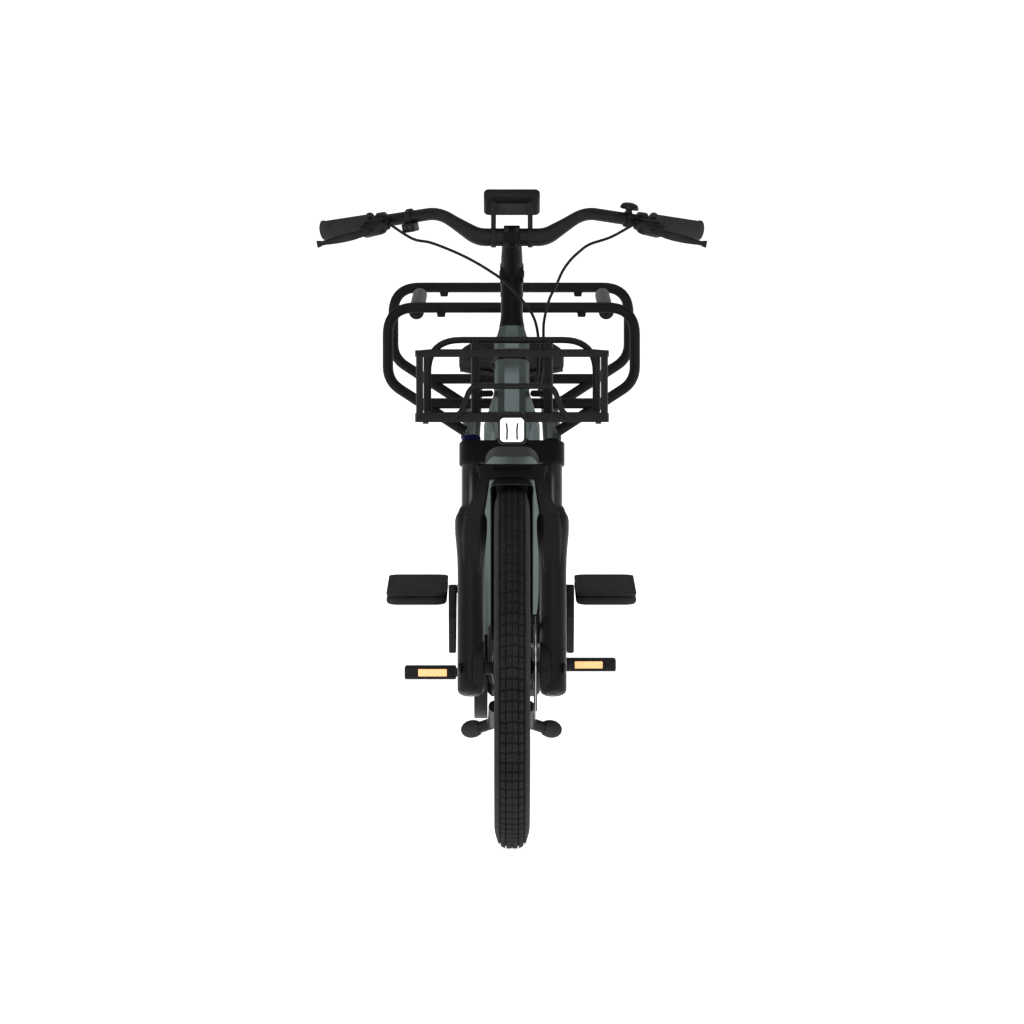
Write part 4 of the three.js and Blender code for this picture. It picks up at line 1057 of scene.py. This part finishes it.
HOOP_HALF = 234
HOOP_TOP = 880
DECK = 698
DECK_CORNER = 170  # where the loop's foot crosses the deck's bar
FOOT_SLOPE = 0.65
HAND_BAR_X = 180
HAND_BAR_Z = 871


def hoop(label, y):
    """A loop with its bar across the deck, and two tabs for the hand bars."""
    foot = DECK - (DECK_CORNER - 84) * FOOT_SLOPE
    elbow = DECK + (HOOP_HALF - DECK_CORNER) * FOOT_SLOPE
    half = [(88, foot + 2.6), (HOOP_HALF, elbow), (HOOP_HALF, HOOP_TOP)]
    outline = [*[(-x, z) for x, z in half], *reversed(half)]
    pieces = [
        tube("loop", bend([at(x, y, z) for x, z in outline], 52), 10, CARRIER, 28),
        tube("bar", [at(-168, y, DECK), at(168, y, DECK)], 10, CARRIER, 28),
    ]
    for x in (-133, 133):
        tab = [at(x + dx, y - 3, z) for dx, z in ((-9, 872), (9, 872), (7, 862), (-7, 862))]
        pieces.append(solid("tab", tab, BACK * 6 * MM, CARRIER, 1.5))
    built(label, pieces, "frame")


hoop("carrier_hoop_front", 1075)
hoop("carrier_hoop_rear", 1727)


def hand_bars():
    """On each side a bare bar, a foam pad over it and a plastic end."""
    foam = [(9.2, 26), (13, 25), (14.2, 27), (14.2, 532), (14, 536), (12, 538), (9.2, 538)]
    cap = [(0, -1), (9, -0.8), (13, 0), (14.4, 2), (14.4, 26), (14, 27), (0, 27)]
    for side, label in ((1, "left"), (-1, "right")):
        x = side * HAND_BAR_X
        bare = tube("bare", places((x, 1085.6, HAND_BAR_Z), (x, 1716.4, HAND_BAR_Z)), 9, CARRIER)
        pad = lathe("pad", at(x, 1089, HAND_BAR_Z), BACK, foam, FOAM)
        end = lathe("end", at(x, 1086, HAND_BAR_Z), BACK, cap, PLASTIC, 64)
        piece = joined(f"hand_bar_{label}_fine", [bare, pad, end])
        finish_piece(piece, "frame", ("foam_hand_bar_" + label,))


hand_bars()

# ---------------------------------------------------------------- basket and headlight


BASKET_TOP = 111  # from the lower strip's middle to the upper's
BASKET_DEPTH = 204


def wrapped_strip(z, half):
    """A flat bar across the basket's front that turns back round both corners."""
    plan = [(-168.5, 20), (-168.5, 0), (168.5, 0), (168.5, 20)]
    path = bend([in_basket(x, y, z) for x, y in plan], 12, 8)
    section = [(x * MM, y * MM) for x, y in rounded_outline(2.5, half, 1.2, 3)]
    up = (in_basket(0, 0, 1) - in_basket(0, 0, 0)).normalized()
    rings = []
    for i, here in enumerate(path):
        run = (path[min(i + 1, len(path) - 1)] - path[max(i - 1, 0)]).normalized()
        out = run.cross(up)
        rings.append([here + out * (x - 2.5 * MM) + up * y for x, y in section])
    return smooth(skin("strip", rings, COAT), 40)


def upright_bar(name, x, y, low, high, radius, material, sides=24):
    return tube(name, [in_basket(x, y, low), in_basket(x, y, high)], radius, material, sides)


def basket_front():
    """Two flat strips, two posts on rubber feet and the dipping wire between them."""
    pieces = [wrapped_strip(BASKET_TOP, 6), wrapped_strip(0, 8)]
    for side in (-1, 1):
        pieces.append(upright_bar("post", side * 161, 3.5, 2, 109, 5.6, COAT))
        pieces.append(upright_bar("foot", side * 150, 8, -11, -5, 5, RUBBER))
    leg = [(59.5, 54.5), (67, 53), (74.4, 45), (79, 33.5), (83, 21.5), (88, 11), (96.5, 4), (107, 1.5)]
    loop = [*[(-x, z) for x, z in reversed(leg)], *leg]
    pieces.append(tube("dip", smooth_route([in_basket(x, -4, z) for x, z in loop], 5), 5, COAT))
    built("basket_front", pieces, "frame")


def basket_sides():
    sides = []
    for z, half in ((0, 7), (BASKET_TOP, 6)):
        edge = [(165, -half), (165, half), (162.4, half), (162.4, -half)]
        reach = in_basket(145.2, 196, z) - in_basket(163.6, 6, z)
        corners = [in_basket(x, 6, z + rise) for x, rise in edge]
        sides.append(solid("rail", corners, reach, COAT, 0.8))
    for share in (0.33, 0.66):
        x = 165 - 20 * share
        sides.append(upright_bar("wire", x, 210 * share, 0, BASKET_TOP, 3.4, COAT, 16))
    both_sides(sides, "basket_side", "frame")


def basket_rear():
    """The tall loop behind with its strips and posts, and the arms that carry the headlight."""
    y = BASKET_DEPTH
    back = in_basket(0, 1, 0) - in_basket(0, 0, 0)
    loop = bend([in_basket(x, y, z) for x, z in ((-148, 0), (-148, 133), (148, 133), (148, 0))], 58)
    rear = [tube("loop", loop, 5.8, COAT)]
    for z in (0, BASKET_TOP):
        corners = [in_basket(x, y - 3, z + w) for x, w in rounded_outline(148, 6, 2.5, 4)]
        rear.append(solid("rail", corners, back * 6, COAT, 1.0))
    for x in (-64, 64):
        rear.append(upright_bar("post", x, y, 0, 131, 8.2, COAT))
    for side in (-1, 1):
        cheek = in_basket(side * 37.5, y + 46, 38)
        rear.append(tube("arm", [in_basket(side * 64, y, 38), cheek], 5.8, COAT))
        rear.append(tube("cheek", [cheek - back * 8, cheek + back * 8], 4, COAT))
    built("basket_rear", rear, "frame")


basket_front()
basket_sides()
basket_rear()
refined("basket_floor", COAT, "frame", 0.6)


# the housing's skin from its back to the floor of its recess: y, inset and corner radius
LAMP_SECTIONS = (
    (19.5, 2, 9), (16, 0, 10), (2, 0, 10), (0.5, 0.5, 10), (0, 2, 9), (0.5, 3.2, 8), (9, 3.7, 7)
)


def lamp():
    centre, low, high, half = measured("headlight_housing")
    rings = []
    for y, inset, radius in LAMP_SECTIONS:
        outline = rounded_outline(half.x - inset, half.z - inset, radius, 8)
        rings.append(upright(outline, centre, low.y + y * MM))
    shell = smooth(skin("shell", rings, SMOOTH_PLASTIC), 40)
    base = places((-19, -42, 0), (19, -42, 0), (16, 56, 0), (-16, 56, 0))
    corners = [Vector((p.x, p.y, low.z + 0.004)) for p in base]
    bracket = solid("bracket", corners, RISE * 30 * MM, SMOOTH_PLASTIC, 3)
    built("headlight_housing", [shell, bracket], "frame")

    centre, low, high, half = measured("headlight_lens")
    face = upright(rounded_outline(half.x - 0.1, half.z - 0.1, 7), centre, low.y)
    parts = [solid("lens", face, BACK * (high.y - low.y), LAMP, 1.6)]
    top = half.z - 9
    foot = 4 - half.z
    for side in (-1, 1):
        slant = [(8, top), (11.5, top), (10, 0), (10.6, foot), (7.4, foot), (6.8, 0)]
        corners = upright([(side * x, z) for x, z in slant], centre, low.y - 0.0006)
        parts.append(solid("rib", corners, BACK * 3 * MM, SMOOTH_PLASTIC, 0.3))
    built("headlight_lens", parts, "frame")


lamp()

# ---------------------------------------------------------------- saddle

SADDLE_GROWTH = 0.008  # how far the filling may push the cover out
SADDLE_DROOP = 0.009  # how far the wings hang over the shell's rim
SADDLE_CROWN = 0.010  # how much lower the top lies 100 mm to a side
SADDLE_DIP = 0.0025  # the depth of the dip along its middle
SADDLE_VOXEL = 0.0045
CLOTH_FRAMES = 20


def clamped(value):
    return min(1, max(0, value))


def saddle():
    """The cushion as padded cloth: the cover is blown out by the cloth solver, then shaped."""
    bm = bmesh.new()
    bm.from_mesh(frame["nodes"]["saddle_cushion"].data)
    bmesh.ops.remove_doubles(bm, verts=bm.verts, dist=WELD)
    piece = link("saddle_pad", mesh_of(bm, "saddle_pad"), COVER)
    low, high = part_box("saddle_cushion")
    remesh = piece.modifiers.new("remesh", "REMESH")
    remesh.mode = "VOXEL"
    remesh.voxel_size = SADDLE_VOXEL
    applied(piece)
    cloth = piece.modifiers.new("cloth", "CLOTH")
    cloth.settings.use_pressure = True
    cloth.settings.uniform_pressure_force = 4
    cloth.settings.effector_weights.gravity = 0
    start = [v.co.copy() for v in piece.data.vertices]
    for step in range(1, CLOTH_FRAMES + 1):
        bpy.context.scene.frame_set(step)
    applied(piece)
    for vert, old in zip(piece.data.vertices, start):
        shift = vert.co - old
        if shift.length > SADDLE_GROWTH:
            vert.co = old + shift.normalized() * SADDLE_GROWTH
    bpy.context.scene.frame_set(1)
    for vert in piece.data.vertices:
        # the base lies on its shell and droops over the rim, and the top dips a little along its middle
        droop = SADDLE_DROOP * clamped((abs(vert.co.x) - 0.045) / 0.035)
        vert.co.x *= 1.03
        if vert.co.z < low.z + 0.004:
            vert.co.z = max(vert.co.z, low.z + 0.0002) - droop
            continue
        rise = (vert.co.z - low.z) / (high.z - low.z)
        vert.co.z -= droop * max(0, 1 - 1.4 * rise)
        across = vert.co.x / 0.1
        length = (vert.co.y - low.y) / (high.y - low.y)
        vert.co.z -= rise * (SADDLE_CROWN * across * across)
        dip = SADDLE_DIP * math.exp(-((vert.co.x / 0.012) ** 2))
        vert.co.z -= rise * dip * clamped((length - 0.3) * 4)
    sub = piece.modifiers.new("fine", "SUBSURF")
    sub.levels = sub.render_levels = 1
    piece.data.materials.clear()
    piece.data.materials.append(COVER)
    piece.data.shade_smooth()
    finish_piece(piece, "seat", ("saddle_cushion",))


saddle()
refined("saddle_shell", COVER, "seat", 0.6)
refined("seatpost", SATIN_ALLOY, "seat", 1.2)
refined("seat_clamp_lever", STEEL, "seat_clamp_lever", 1.6)

# ---------------------------------------------------------------- drive, stand and footrests

refined("crankset", SATIN_ALLOY, "crankset", 1.5)
refined("rear_sprocket", STEEL, "rear_sprocket", 0.5)


PEDAL_TILT = math.radians(5.5)


def pedal(label):
    """A pedal with a reflector on its front and rear faces."""
    centre = measured(label)[0]
    side = 1 if centre.x > 0 else -1
    refined(label, PLASTIC, label, 2.0)
    back = Vector((0, math.cos(PEDAL_TILT), -math.sin(PEDAL_TILT))) * MM
    up = Vector((0, math.sin(PEDAL_TILT), math.cos(PEDAL_TILT))) * MM
    middle_of_face = Vector((side * 0.144, centre.y, centre.z))
    for place, sign in (("front", -1), ("rear", 1)):
        face = [
            middle_of_face + back * sign * 49 + up * z + Vector((x * MM, 0, 0))
            for x, z in rounded_outline(26, 6.6, 1.2, 4)
        ]
        # each plate glows with painted light from the amber reflector material
        plate = block(f"{label}_reflector_{place}", face, back * -sign * 3, AMBER_PAINTED_GLOW, 0.6)
        finish_piece(plate, label)


pedal("pedal_left")
pedal("pedal_right")


def stand():
    """The pivot pin, and two bent legs with rubber feet, each foot with a ring in front of it."""
    pivot = Vector(JOINTS["kickstand_swing"]["pos_m"])

    def near(x, y, z):
        return pivot + Vector((x, y, z)) * MM

    foot = [(0, 0), (12.6, 0), (14, 1.5), (16.4, 9), (17, 16), (16, 23), (12.6, 30), (7.4, 35), (0, 37)]
    ring = [(13.7, 0), (14.3, 0.6), (14.3, 2), (13.7, 2.6), (13.7, 0)]
    leg = [(32, -12, 3), (34, 118, -44), (66, 146, -58), (90, 152, -62)]
    pieces = [tube("pin", [near(-38, 0, 0), near(38, 0, 0)], 8, STEEL)]
    for side in (-1, 1):
        path = bend([near(side * x, y, z) for x, y, z in leg], 24)
        pieces.append(tube("leg", path, 11, SATIN_ALLOY))
        heel = near(side * 60, 143, -56)
        run = near(side * 91, 152.5, -62.5) - heel
        pieces.append(lathe("foot", heel, run, foot, RUBBER))
        pieces.append(lathe("ring", heel + run * 0.06, run, ring, PLASTIC))
    built("kickstand", pieces, "kickstand")


stand()


def footrests():
    """A tray under a plate with a dark seam between them, two slots and a bolt's dimple."""
    centre, low, high, half = measured("footrest_left")
    outline = rounded_outline(half.x, half.y, 24, 12)
    parts = []
    for name, z0, z1, inset, material, bevel in (
        ("tray", low.z, high.z - 0.007, 0, TRAY, 8),
        ("seam", high.z - 0.008, high.z - 0.0055, 2.5, SHADOW, 0.2),
        ("plate", high.z - 0.006, high.z, 0, TRAY, 1.6),
    ):
        scale_x = (1 - inset / half.x) * MM
        scale_y = (1 - inset / half.y) * MM
        corners = [Vector((centre.x + x * scale_x, centre.y + y * scale_y, z0)) for x, y in outline]
        parts.append(solid(name, corners, RISE * (z1 - z0), material, bevel))
    # two slots run in from the hinge side, with a bolt's dimple beyond the second
    face_z = high.z - 0.001
    for y in (1039, 1208):
        spots = [at(low.x / MM + 12 + x, y + z, 0) for x, z in rounded_outline(12.5, 2.2, 2.1, 5)]
        corners = [Vector((p.x, p.y, face_z)) for p in spots]
        parts.append(solid("slot", corners, RISE * 1.2 * MM, SHADOW, 0.2))
    spot = Vector((low.x + 0.021, at(0, 1300, 0).y, face_z))
    profile = [(0, 0), (6, 0), (6, 1.3), (4.6, 1.3), (4, 0.6), (0, 0.6)]
    parts.append(lathe("dimple", spot, RISE, profile, SHADOW, 48))
    both_sides(parts, "footrest", "")


footrests()
for side in ("left", "right"):
    refined("footrest_arm_" + side, COAT, "frame", 1.5)

# ---------------------------------------------------------------- cockpit

CLAMP = at(0, BAR_Y, BAR_Z)


def collar(name, centre, axis, radii, ends, material):
    """A ring round the bar: its bore, the radius of its end faces and its outer radius, with chamfers."""
    bore, face, outer = radii
    end, shoulder = ends
    half = [(bore, -end), (face, -end), (outer, -shoulder)]
    return lathe(name, centre, axis, [*doubled(half), (bore, -end)], material)


def stem():
    """The column, its knuckle, the tapering reach forward to the bar, and the bolted clamp."""
    joint = on_fork(0, 0, 732)
    base = on_fork(0, 0, 631.5)
    column = [
        (0, 0), (22, 0), (22.5, 2), (22, 6), (20.5, 14), (19.5, 24), (19.5, 58), (20.5, 59),
        (20.5, 64), (19.5, 65), (19.5, 100), (0, 101),
    ]
    pieces = [lathe("column", base, UP, column, STEM)]
    end = [(0, -21), (18, -21), (20.5, -19), (20.5, -8), (19.7, -7)]
    pieces.append(lathe("knuckle", joint, ACROSS, doubled(end), STEM))
    bolt = doubled([(0, -22.4), (6, -22.4), (6.6, -21)])
    pieces.append(lathe("knuckle_bolt", joint, ACROSS, bolt, ALLOY, 48))
    reach = smooth_route([joint, joint * 0.5 + CLAMP * 0.5, CLAMP], 6)
    rings = sweep_rings(reach, circle(1, 32))
    for i, ring in enumerate(rings):
        wide = 19.6 - 3.4 * (i / (len(rings) - 1)) ** 2
        for j, p in enumerate(ring):
            ring[j] = reach[i] + (p - reach[i]) * wide
    pieces.append(smooth(skin("reach", rings, STEM), 40))
    pieces.append(collar("clamp", CLAMP, ACROSS, (16.2, 19.4, 20.9), (14.5, 13), STEM))
    screw = [(0, -6), (4.4, -6), (4.6, 3.5), (2.6, 4), (2.4, 2), (0, 2)]
    for x in (-9.5, 9.5):
        for rise in (-14, 14):
            head = CLAMP + Vector((x, -15, rise)) * MM
            pieces.append(lathe("bolt", head, -BACK, screw, ALLOY, 32))
    built("stem", pieces, "steering")


BAR_THICK = 15.9
BAR_THIN = 11.1


def handlebar():
    """The bar is thick where the stem holds it and thins out smoothly towards its rising bends."""
    flat = places((2, BAR_Y, BAR_Z), (60, BAR_Y, BAR_Z))
    half = bend([*flat, on_bar(-21, 0, 0, 0), on_bar(206, 0, 0, 0)], 50, 14)
    fine = [a + (b - a) * i / 6 for a, b in zip(half, half[1:]) for i in range(6)] + [half[-1]]
    path = [Vector((-p.x, p.y, p.z)) for p in reversed(fine)] + fine
    rings = sweep_rings(path, circle(1, 32))
    for here, ring in zip(path, rings):
        taper = clamped((abs(here.x) - 0.050) / 0.066)
        radius = BAR_THICK - (BAR_THICK - BAR_THIN) * (3 * taper**2 - 2 * taper**3)
        for j, p in enumerate(ring):
            ring[j] = here + (p - here) * radius
    piece = smooth(skin("handlebar_fine", rings, SATIN_ALLOY), 50)
    finish_piece(piece, "steering", ("handlebar",))


def grips():
    """Rubber grips with a collar at the inner end, ribs along the middle and a closed outer end."""
    for side, label in ((1, "left"), (-1, "right")):
        start = on_bar(112, 0, 0, 0, side)
        length = 98
        rows = [(11.3, 0), (18.6, 0), (19.2, 1.2), (19.2, 4.6), (18.4, 5.6), (16.4, 7)]
        for i in range(26):
            y = 9 + i * 3.1
            rows.extend([(16.5, y), (16.5, y + 1.9), (15.9, y + 2.2), (15.9, y + 2.9)])
        end = ((16.8, -6), (17.8, -4), (17.8, -1), (16, 0), (0, 0.4))
        rows.extend([(r, length + along) for r, along in end])
        grip = lathe("grip_" + label + "_fine", start, bar_way(1, 0, 0, side), rows, RUBBER, 72)
        finish_piece(grip, "steering", ("grip_" + label,))


BRAKE_ALONG = 92  # where a brake's clamp sits along the bar's straight end
LEVER_THIN = 3.3
LEVER_ROUTE = (
    (16, -50, -12), (28, -55, -13), (46, -55, -15), (70, -51, -17), (92, -50.5, -18.5), (106, -54, -19.5),
    (118, -60, -20),
)


def brake_body(side, label):
    """A clamp round the bar, the fluid tank with its lid in front of it, and the bridge between them."""
    axis = bar_way(1, 0, 0, side)
    up = bar_way(0, 0, 1, side)
    centre = on_bar(BRAKE_ALONG, 0, 0, 0, side)
    pieces = [collar("ring", centre, axis, (11.4, 15, 16.4), (8, 6.6), SATIN_ALLOY)]
    inner = on_bar(BRAKE_ALONG, -26, -30, -6, side)
    outer = on_bar(BRAKE_ALONG, 28, -30, -10, side)
    run = (outer - inner).length / MM
    tank = [
        (0, 0), (7, 0), (8.5, 1), (9, 6), (13, 11), (14.4, 18), (14.4, run - 8), (12, run - 2),
        (8, run), (0, run),
    ]
    pieces.append(lathe("tank", inner, outer - inner, tank, SATIN_ALLOY))
    section = ((-32, -14), (-8, -10), (-8, 8), (-32, 4))
    corners = [on_bar(BRAKE_ALONG, -7, y, z, side) for y, z in section]
    pieces.append(solid("bridge", corners, axis * 14, SATIN_ALLOY, 2))
    outline = rounded_outline(21, 9.5, 6)
    corners = [on_bar(BRAKE_ALONG, x, y - 30, 3.5, side) for x, y in outline]
    pieces.append(solid("lid", corners, up * 4, SMOOTH_PLASTIC, 1))
    built("brake_body_" + label, pieces, "steering")


def brake_lever(side, label):
    """A flat blade that is tallest along its middle and ends in a slight bulb."""
    up = bar_way(0, 0, 1, side) / MM
    route = smooth_route([on_bar(80, *point, side) for point in LEVER_ROUTE], 6)
    rings = sweep_rings(route, circle(1, 20))
    for i, (here, ring) in enumerate(zip(route, rings)):
        t = i / (len(route) - 1)
        if t < 0.9:
            tall = 4.4 + 3.2 * math.sin(math.pi * min(1, t * 1.25))
        else:
            tall = 5.4 + 12 * (t - 0.9)
        for j, p in enumerate(ring):
            offset = (p - here) / MM
            rise = offset.dot(up)
            ring[j] = here + ((offset - up * rise) * LEVER_THIN + up * rise * tall) * MM
    node = "brake_lever_" + label
    blade = smooth(skin(node + "_fine", rings, SATIN_ALLOY), 60)
    finish_piece(blade, node, (node,))


def display():
    """The display stands on two arms from the bar, its screen facing up and back."""
    pieces = []
    for x in (-32.5, 32.5):
        ring = at(x, BAR_Y, BAR_Z)
        pieces.append(collar("ring", ring, ACROSS, (16.2, 17.6, 18.4), (4.5, 3.5), PLASTIC))
        side = ((-8, 14), (8, 14), (8, 54), (-8, 64))
        corners = [at(x - 4.5, BAR_Y + dy, BAR_Z + dz) for dy, dz in side]
        pieces.append(solid("arm", corners, ACROSS * 9 * MM, PLASTIC, 1.2))
    lean = math.radians(38)
    down = Vector((0, math.cos(lean), -math.sin(lean)))
    out = Vector((0, math.sin(lean), math.cos(lean)))
    centre = at(0, BAR_Y + 4, BAR_Z + 54.5)

    for name, half_x, half_w, radius, low, high, shift, material, bevel in (
        ("case", 50, 31, 9, 0.4, 17.8, 0, SMOOTH_PLASTIC, 5),
        ("bracket", 37, 15, 5, -3.5, 3, 6, RUBBER, 1.5),
        ("screen", 42, 24, 4, 17, 18.0, 0, SCREEN, 0.3),
    ):
        outline = rounded_outline(half_x, half_w, radius)
        corners = [centre + (ACROSS * x + down * (w + shift) + out * low) * MM for x, w in outline]
        pieces.append(solid(name, corners, out * (high - low) * MM, material, bevel))
    built("display", pieces, "steering")


def assist_remote():
    """A collar on the right, with a pod behind it that carries two keys."""
    centre = on_bar(36, 0, 0, 0, -1)
    pieces = [collar("ring", centre, bar_way(1, 0, 0, -1), (11.3, 14, 15), (5, 4), PLASTIC)]
    corners = [on_bar(36, x, y - 7, -26, -1) for x, y in rounded_outline(12, 13, 4)]
    pieces.append(solid("pod", corners, bar_way(0, 0, 1, -1) * 16, SMOOTH_PLASTIC, 2.5))
    key = [(0, -1), (3.4, -1), (3.2, 0.9), (0, 1.1)]
    for offset in (-5, 5):
        spot = on_bar(36, offset, -20, -17, -1)
        pieces.append(lathe("key", spot, bar_way(0, -1, 0, -1), key, RUBBER, 32))
    built("assist_remote", pieces, "steering")


def bell():
    centre = on_bar(64, 0, 0, 0)
    dome = [
        (0, 12), (6, 12), (6, 17), (15, 17.4), (17, 18.6), (16.4, 23), (13.5, 27), (8, 29.4),
        (3, 30), (0, 30),
    ]
    pieces = [
        collar("ring", centre, bar_way(1, 0, 0, 1), (11.3, 13.6, 14.5), (5, 4), PLASTIC),
        lathe("dome", centre, bar_way(0, 0, 1, 1), dome, ALLOY),
    ]
    built("bell", pieces, "steering")


stem()
handlebar()
grips()
for sign, side in ((1, "left"), (-1, "right")):
    brake_body(sign, side)
    brake_lever(sign, side)
display()
assist_remote()
bell()

# ---------------------------------------------------------------- hoses

HOSE_RADIUS = 2.6
LEFT_ROUTE = (
    (176, 248, 1056), (139, 238, 1044), (121, 234, 1032), (103, 230, 1015), (89, 226, 995),
    (77, 224, 968), (66, 222, 946), (57, 224, 908), (56, 232, 878), (55, 248, 846), (53, 272, 808),
    (48, 298, 776),
)
RIGHT_ROUTE = (
    (-176, 246, 1053), (-145, 234, 1047), (-109, 226, 1034), (-74, 220, 1018), (-38, 214, 997),
    (-12, 210, 978), (20, 208, 944), (38, 210, 917), (46, 220, 886), (47, 238, 852), (46, 260, 816),
    (42, 286, 785),
)
# down the inside of the left leg to the calliper, as points on the fork
FORK_ROUTE = (
    (30, 20, 368.1), (46, 14, 350), (50, 8, 300), (50, 2, 240), (50, 4, 170), (48, 14, 130), (45, 20, 109.4)
)


def hoses():
    port = on_bar(BRAKE_ALONG, -28.2, -30, -6, 1)
    left = [port, *places(*LEFT_ROUTE)]
    right = [Vector((-port.x, port.y, port.z)), *places(*RIGHT_ROUTE)]
    fork = [on_fork(*point) for point in FORK_ROUTE]
    for name, route, node in (
        ("front_hose", left, "front_brake_hose"),
        ("rear_hose", right, "rear_brake_hose"),
    ):
        piece = tube(name, smooth_route(route, 6), HOSE_RADIUS, HOSE, 16)
        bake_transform(piece)
        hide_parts(node)
    piece = tube("fork_hose", smooth_route(fork, 7), HOSE_RADIUS, HOSE, 16)
    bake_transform(piece)
    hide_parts("fork_brake_hose")


hoses()
